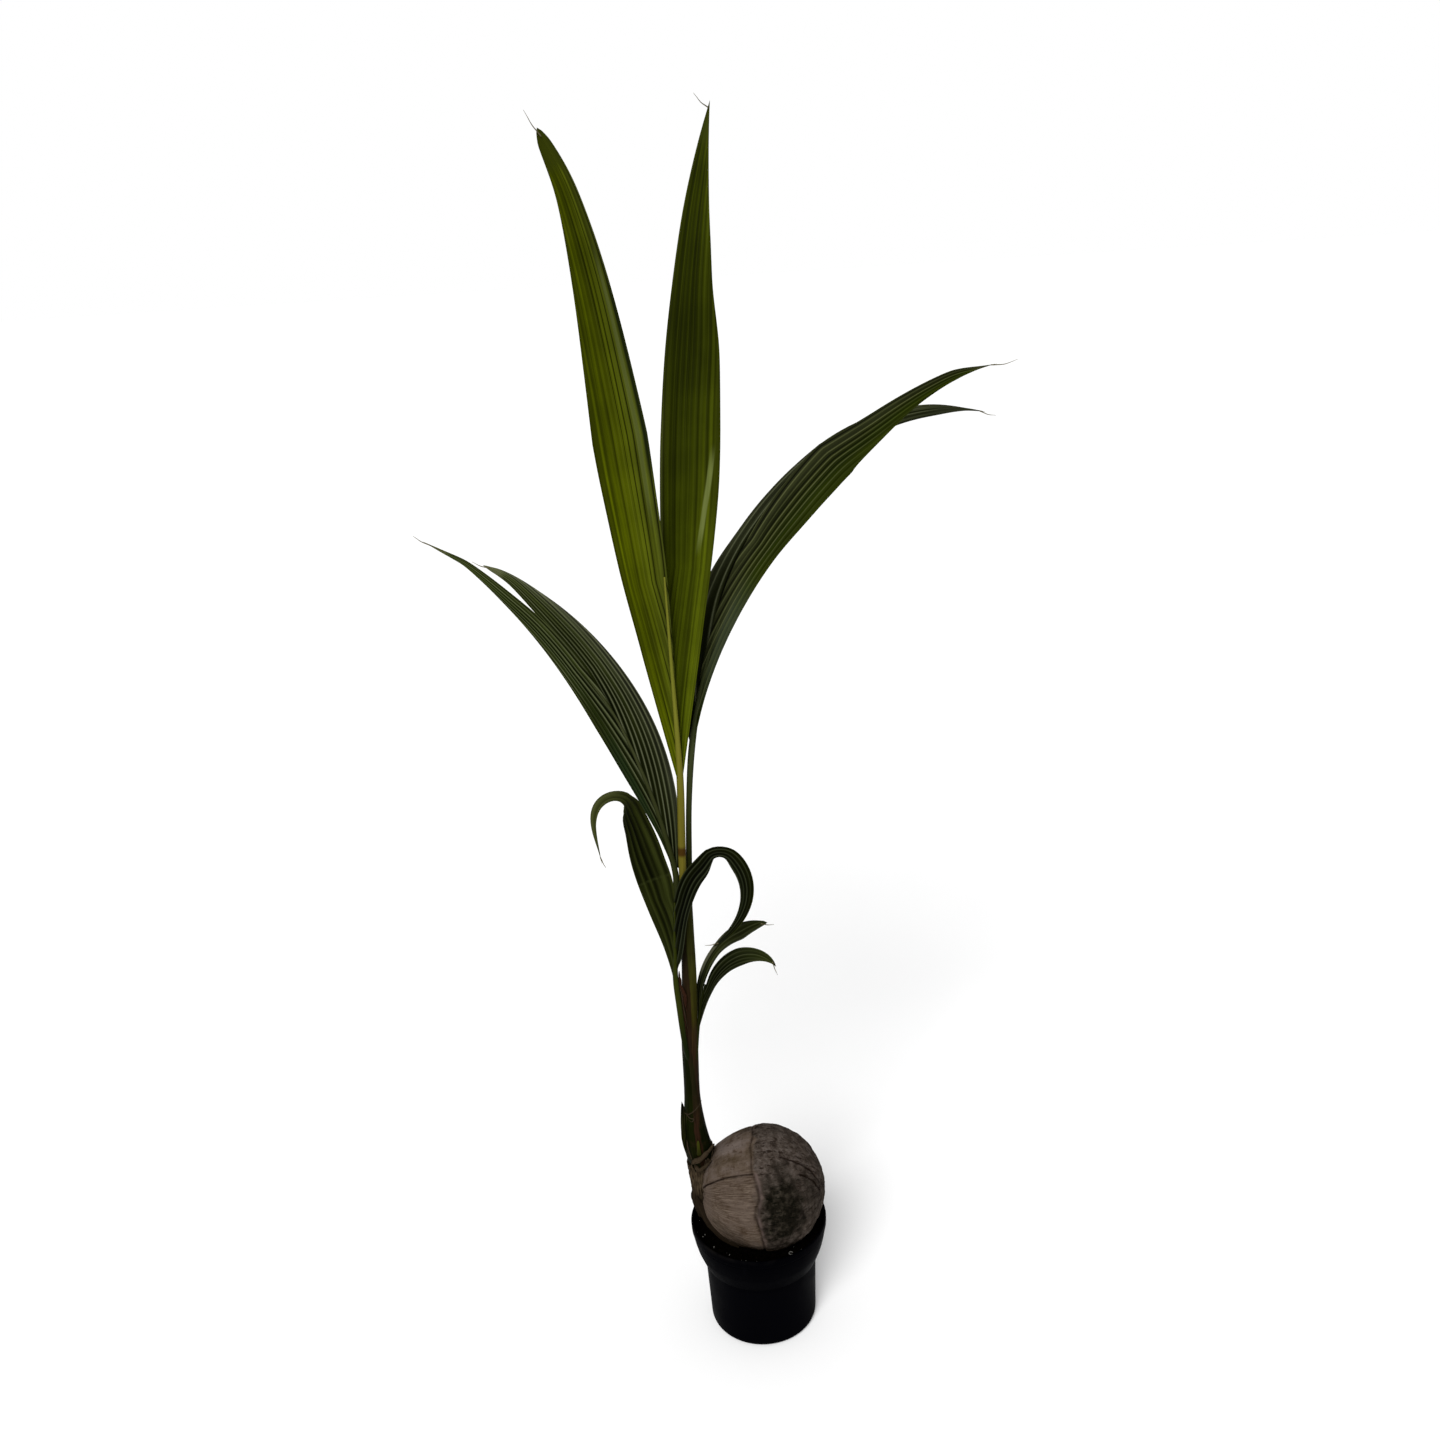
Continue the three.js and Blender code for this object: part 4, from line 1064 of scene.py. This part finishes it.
def nut_material():
    """Grey-brown husk, finely streaked towards both ends, mottled and dark where it is worn."""
    husk = Shader("nut_husk", 0.88, 0.008)
    worn, crack, stained, lip, lined = (
        husk.node("Attribute", output=2, settings={"attribute_name": name})
        for name in ("worn", "crack", "stained", "lip", "lined")
    )
    share, turn = husk.axes(husk.uv("husk"))[:2]
    cosine, sine = husk.math("COSINE", turn), husk.math("SINE", turn)

    def fibres(along, around):
        place = husk.join(husk.times(share, along), husk.times(cosine, around), husk.times(sine, around))
        return husk.noise(place, 1.0, 3.0, 0.65)

    streak = fibres(6.0, 55.0)
    coarse = fibres(9.0, 22.0)
    patch = husk.noise(husk.place(), 26.0, 4.0, 0.6)
    mottle = husk.noise(husk.place(), 95.0, 4.0, 0.7)
    speck = husk.noise(husk.place(), 260.0, 4.0, 0.75)
    pit = husk.noise(husk.place(), 620.0, 3.0, 0.7)
    smooth = husk.ramp(patch, [(0.38, rgb(68, 56, 41)), (0.5, rgb(94, 81, 70)), (0.62, rgb(112, 100, 93))])
    smooth = husk.tinge(smooth, mottle, 0.45, 0.35, 0.7, rgb(62, 48, 36))
    smooth = husk.tinge(smooth, mottle, 0.58, 0.7, 0.6, rgb(110, 98, 92))
    streaked = husk.ramp(streak, [(0.36, rgb(56, 44, 33)), (0.5, rgb(84, 71, 60)), (0.64, rgb(108, 95, 83))])
    streaked = husk.tinge(streaked, coarse, 0.44, 0.32, 0.6, rgb(56, 43, 32))
    streaked = husk.tinge(streaked, mottle, 0.46, 0.36, 0.6, rgb(60, 47, 35))
    streaked = husk.tinge(streaked, patch, 0.42, 0.62, 0.5, rgb(100, 87, 78))
    pale = husk.mix(husk.math("MULTIPLY_ADD", lined, 0.85, 0.15), smooth, streaked)
    pale = husk.tinge(pale, speck, 0.42, 0.32, 0.35, rgb(60, 48, 38))
    pale = husk.mix(lip, pale, rgb(98, 84, 79))
    dull = husk.ramp(mottle, [(0.36, rgb(52, 44, 38)), (0.5, rgb(76, 67, 60)), (0.64, rgb(94, 85, 79))])
    dull = husk.tinge(dull, speck, 0.44, 0.32, 0.6, rgb(42, 34, 28))
    dull = husk.tinge(dull, coarse, 0.47, 0.35, 0.9, rgb(32, 24, 18))
    dull = husk.tinge(dull, streak, 0.45, 0.32, 0.6, rgb(46, 38, 32))
    dull = husk.tinge(dull, patch, 0.52, 0.64, 0.45, rgb(50, 44, 37))
    dull = husk.tinge(dull, pit, 0.6, 0.68, 0.6, rgb(116, 108, 99))
    mould = husk.ramp(mottle, [(0.34, rgb(10, 9, 6)), (0.5, rgb(26, 23, 17)), (0.66, rgb(52, 47, 39))])
    mould = husk.tinge(mould, coarse, 0.47, 0.37, 0.8, rgb(8, 9, 5))
    colour = husk.mix(stained, husk.mix(worn, pale, dull), mould)
    colour = husk.tinge(colour, pit, 0.38, 0.3, 0.6, rgb(34, 24, 15))
    earth = husk.math("ADD", husk.axes(husk.place())[2], husk.times(patch, 0.03))
    colour = husk.tinge(colour, earth, 0.196, 0.166, 0.85, rgb(36, 27, 16))
    husk.set("Base Color", husk.mix(crack, colour, rgb(20, 10, 4)))
    husk.set("Roughness", husk.span(speck, 0.3, 0.7, 0.78, 0.96))
    fine = husk.bump(coarse, 0.0016, 0.6, husk.bump(streak, 0.0009, 0.8))
    husk.set("Normal", husk.bump(mottle, 0.0014, 0.6, fine))
    return husk.material


# Stem, with its sheaths, and the torn husk at its foot.
def stem_band(height, column):
    """A value of STEM_BANDS at each height."""
    return np.interp(height, [row[0] for row in STEM_BANDS], column)


def stem_tint(angle, height):
    """Base colour of the stem at angles, 0 facing the viewer and positive to the right, and heights."""
    sway = 2.5 * noise(np.stack([angle / 14, height / 9, np.zeros_like(angle)], -1), 71)
    first, second = (stem_band(height, [row[i] for row in STEM_BANDS]) + sway for i in (1, 2))
    left, middle, right = (
        np.stack([stem_band(height, [rgb(*row[i])[part] for row in STEM_BANDS]) for part in range(4)], -1)
        for i in (3, 4, 5)
    )
    tint = left + (middle - left) * smooth_step(-3, 3, angle - first)[..., None]
    tint = tint + (right - tint) * smooth_step(-3, 3, angle - second)[..., None]
    return tint + (left - tint) * smooth_step(158, 164, angle)[..., None]


def stem_material():
    skin = Shader("stem_sheath", 0.48, 0.01)
    tint = skin.node("Attribute", settings={"attribute_name": "tint"})
    around, along = skin.axes(skin.uv("around"))[:2]
    lines = skin.streaks(around, along, 46.0, 22.0, 3.0)
    blotch = skin.noise(skin.place(), 60.0, 3.0)
    colour = skin.shade(tint, skin.ramp(lines, [(0.3, (0.6, 0.6, 0.6, 1)), (0.7, (1.35, 1.35, 1.3, 1))]))
    skin.set("Base Color", skin.tinge(colour, blotch, 0.55, 0.75, 0.5, rgb(42, 30, 18)))
    skin.set("Roughness", skin.span(lines, 0.2, 0.8, 0.4, 0.62))
    skin.set("Normal", skin.bump(lines, 0.0007, 0.6))
    return skin.material


def make_stem():
    """The stem, with a step where each sheath lies over the next and rings at its foot."""
    line, radii = curve_through(STEM, STEM_ROWS)
    turn = turns(STEM_COLUMNS)
    angle = (np.degrees(turn)[None] + 180) % 360 - 180 + np.zeros((STEM_ROWS, 1))
    height = line[:, 2:3] + np.zeros((1, STEM_COLUMNS))
    relief = np.zeros_like(angle)
    for i, rise in ((1, 0.5), (2, 0.7)):
        off = angle - stem_band(height, [row[i] for row in STEM_BANDS])
        relief += rise * smooth_step(-2, 2, off) * smooth_step(150, 20, off)
        relief -= 0.45 * bell(off, 3.0)
    strip = np.stack([np.cos(turn) * 7 + 0 * angle, np.sin(turn) * 7 + 0 * angle, height / 55], -1)
    relief += 0.22 * noise(strip * [1.7, 1.7, 1], 72) + 0.35 * noise(strip * [0.35, 0.35, 1.2], 73)
    relief += smooth_step(275, 235, height) * 0.6 * np.cos(height / 2.1 + angle / 25)
    points = tube_points(line, radii[:, None] + relief, STEM_COLUMNS)
    stem = limb("sheathed_stem", line, points, stem_material(), NODE_SLOTS["stem"], "stem")
    layer = stem.data.attributes.new("tint", "FLOAT_COLOR", "POINT")
    layer.data.foreach_set("color", stem_tint(angle, height).astype(np.float32).ravel())


def fibre_material(name, dark, pale):
    """Dry husk fibre or torn sheath. Below 0.225 metres it is darkened by painted shade, for the crevice
    where the husk sleeve meets the nut.
    """
    husk = Shader(name, 0.9, 0.01)
    around, along = husk.axes(husk.uv("around"))[:2]
    strand = husk.streaks(around, along, 60.0, 40.0, 3.0)
    speck = husk.noise(husk.place(), 260.0, 3.0)
    colour = husk.tinge(husk.ramp(strand, [(0.3, dark), (0.7, pale)]), speck, 0.5, 0.7, 0.5, dark)
    # Painted shade: darker below 0.225 metres, in the crevice between the husk sleeve and the nut.
    husk.set("Base Color", husk.tinge(colour, along, 0.225, 0.2, 0.75, rgb(18, 12, 7)))
    husk.set("Normal", husk.bump(strand, 0.001, 0.8))
    return husk.material


def make_collar(material):
    """A torn sleeve of husk round the stem's foot, with a ragged mouth."""
    line, radii = curve_through(COLLAR, COLLAR_ROWS)
    points = tube_points(line, radii[:, None], COLLAR_SIDES)
    turn = turns(COLLAR_SIDES)
    circle = np.stack([np.cos(turn), np.sin(turn), 0 * turn], -1)
    rim = 10 * noise(circle * 2.4, 81) + 4 * noise(circle * 9, 82)
    rim += 10 * np.cos(turn - math.radians(110)) - 1
    share = np.linspace(0, 1, COLLAR_ROWS)[:, None]
    spin = circle + np.stack([0 * share, 0 * share, share * 0.5], -1)
    lumps = 1.6 * noise(points / 9, 83) + 0.9 * noise(spin * 11, 84) + 0.5 * noise(points / 3, 85)
    spoke = unit(points - line[:, None])
    points = points + spoke * lumps[..., None]
    points[..., 2] += share**2 * rim
    wall = 2.6 - 1.6 * share
    inside = points - spoke * wall[..., None]
    shell = np.concatenate([points, inside[::-1]], 0)
    there_and_back = np.concatenate([line, line[::-1]])
    limb("torn_husk", there_and_back, shell, material, NODE_SLOTS["husk_collar"], "husk_collar")


def make_strand(name, path, radius, material, slot, flat=1.0, seed=0, taper=0.75):
    """A rolled flap, fibre or shred that follows a path of points, lumpy and thinner to its end. It is
    flattened from front to rear by flat."""
    rows = 14 * len(path)
    line, _ = curve_through([[*point, radius] for point in path], rows)
    t = np.linspace(0, 1, rows)[:, None]
    radii = radius * np.minimum(1, 0.15 + 5 * t) * (1 - taper * t**3)
    points = tube_points(line, radii, STRAND_SIDES)
    shape = 1 + 0.3 * noise(points / (radius * 1.6), seed)[..., None]
    offset = (points - line[:, None]) * shape
    _, rear = limb_frames(line)
    depth = (offset * rear[:, None]).sum(-1, keepdims=True)
    limb(name, line, line[:, None] + offset - rear[:, None] * depth * (1 - flat), material, slot)


def make_strands(husk):
    sheath = fibre_material("torn_sheath", rgb(28, 13, 8), rgb(72, 46, 32))
    looks = {"husk": husk, "sheath": sheath}
    for i, (name, look, radius, flat, path) in enumerate(STRANDS):
        make_strand(name, path, radius, looks[look], NODE_SLOTS["husk_collar"], flat, seed=i + 1)
    tongue = stalk_material("green_tongue", *TONGUE_LOOK)
    make_strand("leaf_tongue", TONGUE, TONGUE_RADIUS, tongue, NODE_SLOTS["stem"], 0.5, seed=6)


# Pot and soil.
def rounded(outline, radius):
    """The outline with its corners rounded, as radius and height pairs."""
    points = np.array(outline, float)
    result = [points[0]]
    for before, corner, after in zip(points[:-2], points[1:-1], points[2:]):
        back, on = before - corner, after - corner
        reach = min(radius, np.linalg.norm(back) / 2.2, np.linalg.norm(on) / 2.2)
        start, end = corner + reach * unit(back), corner + reach * unit(on)
        for u in np.linspace(0, 1, 4):
            result.append((1 - u) ** 2 * start + 2 * u * (1 - u) * corner + u**2 * end)
    result.append(points[-1])
    return np.array(result)


def lathe_points(outline, sides):
    turn = turns(sides)
    radius, height = outline[:, :1], outline[:, 1:]
    return np.stack([radius * np.sin(turn), -radius * np.cos(turn), height + 0 * turn], -1)


def pot_outline():
    """The pot's outline from the middle of its underside, up its outside and down its inside."""
    middle = COLLAR_MIDDLE_RADIUS + 1
    return POT_UNDERSIDE + [
        [FOOT_RADIUS - FOOT_ROUND, 0],
        [FOOT_RADIUS - 1.6, 1.9],
        [FOOT_RADIUS + POT_SLOPE * FOOT_ROUND, FOOT_ROUND],
        [BODY_TOP_RADIUS, COLLAR_FOOT - 1.2],
        [COLLAR_FOOT_RADIUS, COLLAR_FOOT],
        [middle - 0.4, COLLAR_MIDDLE - 3],
        [middle + 2.6, COLLAR_MIDDLE + 10],
        [RIM_RADIUS - 1.2, BAND_FOOT - 1],
        [RIM_RADIUS - 1.6, BAND_FOOT + 0.4],
        [RIM_RADIUS - 0.3, BAND_FOOT + 1.6],
        [RIM_RADIUS, POT_HEIGHT - 1],
        [RIM_RADIUS - 1.2, POT_HEIGHT],
        [RIM_RADIUS - RIM_WALL, POT_HEIGHT - 0.4],
        [RIM_RADIUS - RIM_WALL, BAND_FOOT],
        [middle - POT_WALL, COLLAR_MIDDLE],
        [BODY_TOP_RADIUS - POT_WALL, COLLAR_FOOT - 1],
        [FOOT_RADIUS - POT_WALL + POT_SLOPE * FOOT_ROUND, FOOT_ROUND],
        [FOOT_RADIUS - POT_WALL - FOOT_ROUND + POT_FLOOR, POT_FLOOR],
        [0, POT_FLOOR],
    ]


def drill_drains(pot):
    drills = []
    for i in range(DRAIN_HOLES):
        turn = 2 * math.pi * i / DRAIN_HOLES
        place = (DRAIN_CIRCLE * MM * math.cos(turn), DRAIN_CIRCLE * MM * math.sin(turn), 0)
        drill = bmesh.new()
        bmesh.ops.create_cone(
            drill, cap_ends=True, segments=40, radius1=DRAIN_RADIUS * MM, radius2=DRAIN_RADIUS * MM,
            depth=0.02, matrix=Matrix.Translation(place),
        )
        mesh = bpy.data.meshes.new("drill")
        drill.to_mesh(mesh)
        drill.free()
        drills.append(bpy.data.objects.new("drill", mesh))
        bpy.context.scene.collection.objects.link(drills[-1])
        cut = pot.modifiers.new("drain", "BOOLEAN")
        cut.operation = "DIFFERENCE"
        cut.object = drills[-1]
    graph = bpy.context.evaluated_depsgraph_get()
    mesh = bpy.data.meshes.new_from_object(pot.evaluated_get(graph))
    pot.modifiers.clear()
    pot.data = mesh
    for drill in drills:
        bpy.data.objects.remove(drill)


def pot_material():
    """Black plastic, dusty at the rim, with painted shade that makes it darkest from just under the collar
    upwards.
    """
    plastic = Shader("black_plastic", 0.45, 0.003)
    grain = plastic.noise(plastic.place(), 900.0, 2.0)
    cloud = plastic.noise(plastic.place(), 22.0, 4.0)
    streak = plastic.noise(plastic.scaled(plastic.place(), 160, 160, 9), 1.0, 3.0)
    height = plastic.axes(plastic.place())[2]
    colour = plastic.mix(cloud, rgb(1, 1, 3), rgb(4, 4, 7))
    # Painted shade: darker from 14 mm below the collar's foot upwards, hiding the light that falls on the
    # collar band.
    colour = plastic.tinge(colour, height, (COLLAR_FOOT - 14) * MM, COLLAR_FOOT * MM, 0.75, rgb(1, 1, 3))
    dust = plastic.times(plastic.span(height, 0.157, 0.166), plastic.span(cloud, 0.4, 0.7))
    colour = plastic.mix(plastic.times(dust, 0.3), colour, rgb(40, 37, 34))
    plastic.set("Base Color", plastic.tinge(colour, streak, 0.6, 0.8, 0.15, rgb(16, 16, 19)))
    plastic.set("Roughness", plastic.span(cloud, 0.3, 0.7, 0.38, 0.55))
    plastic.set("Normal", plastic.bump(grain, 0.0002, 0.3))
    return plastic.material


def make_pot():
    pot = grid_piece("nursery_pot", lathe_points(rounded(pot_outline(), 2.4), POT_SIDES))
    drill_drains(pot)
    pot.data.shade_smooth()
    pot.data.set_sharp_from_angle(angle=math.radians(50))
    fit(pot, pot_material(), NODE_SLOTS["pot"], "pot")


def make_soil():
    side = [
        [0, POT_FLOOR + 0.3],
        [FOOT_RADIUS - POT_WALL - 4, POT_FLOOR + 0.3],
        [FOOT_RADIUS - POT_WALL - 0.5 + POT_SLOPE * FOOT_ROUND, FOOT_ROUND],
        [BODY_TOP_RADIUS - POT_WALL - 0.5, COLLAR_FOOT - 1],
        [COLLAR_MIDDLE_RADIUS - POT_WALL, COLLAR_MIDDLE],
    ]
    top = [[SOIL_RADIUS * (1 - k / SOIL_RINGS), SOIL_LEVEL] for k in range(SOIL_RINGS + 1)]
    points = lathe_points(np.array(side + top), SOIL_SIDES)
    surface = points[len(side):]
    inner = smooth_step(SOIL_RADIUS, SOIL_RADIUS * 0.8, np.hypot(surface[..., 0], surface[..., 1]))
    lumps = 1.6 * noise(surface / 11, 91) + 1.3 * noise(surface / 5, 92) + 0.6 * noise(surface / 2.5, 93)
    surface[..., 2] += lumps + 1.5 * inner
    soil = grid_piece("soil_body", points)
    dark = grit_material("dark_soil", rgb(1, 1, 0), rgb(8, 5, 4))
    fit(soil, dark, NODE_SLOTS["potting_soil"], "potting_soil")
    draw = random.Random(5)
    make_grit("soil_clods", 420, (1.2, 3.2), dark, draw, (30, 89))
    bark = grit_material("bark_chip", rgb(7, 4, 3), rgb(20, 13, 8))
    make_grit("soil_chips", 160, (0.8, 2.2), bark, draw, (40, 89), 0.4)
    pale = grit_material("white_grit", rgb(92, 90, 86), rgb(150, 148, 142))
    make_grit("white_grit", 26, (0.3, 0.8), pale, draw, (66, 89), spots=WHITE_SPECKS)
    ring = [PALE_RING + 2.6 * np.array([math.cos(a), math.sin(a), 0]) for a in np.linspace(0, 5.2, 9)]
    make_strand("pale_ring", ring, 0.6, pale, NODE_SLOTS["potting_soil"], taper=0.3, seed=8)


def grit_material(name, dark, pale):
    grit = Shader(name, 0.95, 0.002)
    speck = grit.noise(grit.place(), 420.0, 4.0, 0.65)
    grit.set("Base Color", grit.mix(grit.span(speck, 0.35, 0.7), dark, pale))
    grit.set("Normal", grit.bump(speck, 0.001, 0.8))
    return grit.material


def make_grit(name, count, sizes, material, draw, ring, squash=0.75, spots=()):
    """Small lumps strewn on the soil, and larger ones at the spots given, joined in one piece."""
    grit = bmesh.new()
    for i in range(count + len(spots)):
        turn = draw.uniform(0, 2 * math.pi)
        radius = math.sqrt(draw.uniform(ring[0] ** 2, ring[1] ** 2))
        size = draw.uniform(*sizes)
        radius = min(radius, GRIT_RADIUS - size)
        level = SOIL_LEVEL + draw.uniform(0.2, 1.8)
        place = Vector((radius * math.cos(turn), radius * math.sin(turn), level))
        if i >= count:
            x, y, size = spots[i - count]
            place = Vector((x, y, SOIL_LEVEL + 2))
        made = bmesh.ops.create_icosphere(grit, subdivisions=2, radius=size)["verts"]
        angle = draw.uniform(0, 3)
        tilt = Matrix.Rotation(angle, 3, Vector((draw.random(), draw.random(), draw.random() + 0.1)))
        stretch = Matrix.Diagonal((draw.uniform(0.8, 1.5), draw.uniform(0.6, 1.1), squash))
        corners = np.array([v.co for v in made])
        bumps = noise(corners / (size * 0.7) + turn * 9, 101)
        for vert, bump in zip(made, bumps):
            vert.co = (tilt @ stretch @ (vert.co * (1 + 0.28 * bump)) + place) * MM
    mesh = bpy.data.meshes.new(name)
    grit.to_mesh(mesh)
    grit.free()
    mesh.shade_smooth()
    fit(add_piece(name, mesh), material, NODE_SLOTS["potting_soil"])


# The leaves and what belongs to them.
def dry_material():
    dry = Shader("dry_thread", 0.7, 0.05)
    grain = dry.noise(dry.place(), 300.0)
    dry.set("Base Color", dry.mix(grain, rgb(120, 112, 84), rgb(86, 78, 52)))
    dry.set("Normal", dry.bump(grain, 0.0002))
    return dry.material


def make_blades():
    dry = dry_material()
    for node, blade in BLADES.items():
        look = leaf_material(node, **BLADE_LOOKS[node])
        nodes = [node, node + "_curl"] if "curl" in blade else [node]
        tip = make_blade(node + "_blade", blade, look, NODE_SLOTS[node], nodes)
        make_hair(node + "_thread", tip, blade["hair"], dry, NODE_SLOTS[node])


def make_stalk(leaf_name):
    look = stalk_material(leaf_name + "_stalk", *STALK_LOOKS[leaf_name])
    node = leaf_name + "_petiole"
    make_petiole(node + "_stalk", leaf_name, look, NODE_SLOTS[node], node)


def make_scale_leaf():
    look = leaf_material("scale_leaf", **SCALE_LOOK)
    make_blade("scale_leaf_blade", SCALE_LEAF, look, NODE_SLOTS["scale_leaf"], ["scale_leaf"])


make_camera()
make_studio()
make_blades()
for stalk_name in STALKS:
    make_stalk(stalk_name)
make_stem()
make_nut()
make_pot()
make_soil()
husk_look = fibre_material("husk_fibre", rgb(28, 20, 12), rgb(80, 68, 52))
make_collar(husk_look)
make_strands(husk_look)
make_scale_leaf()
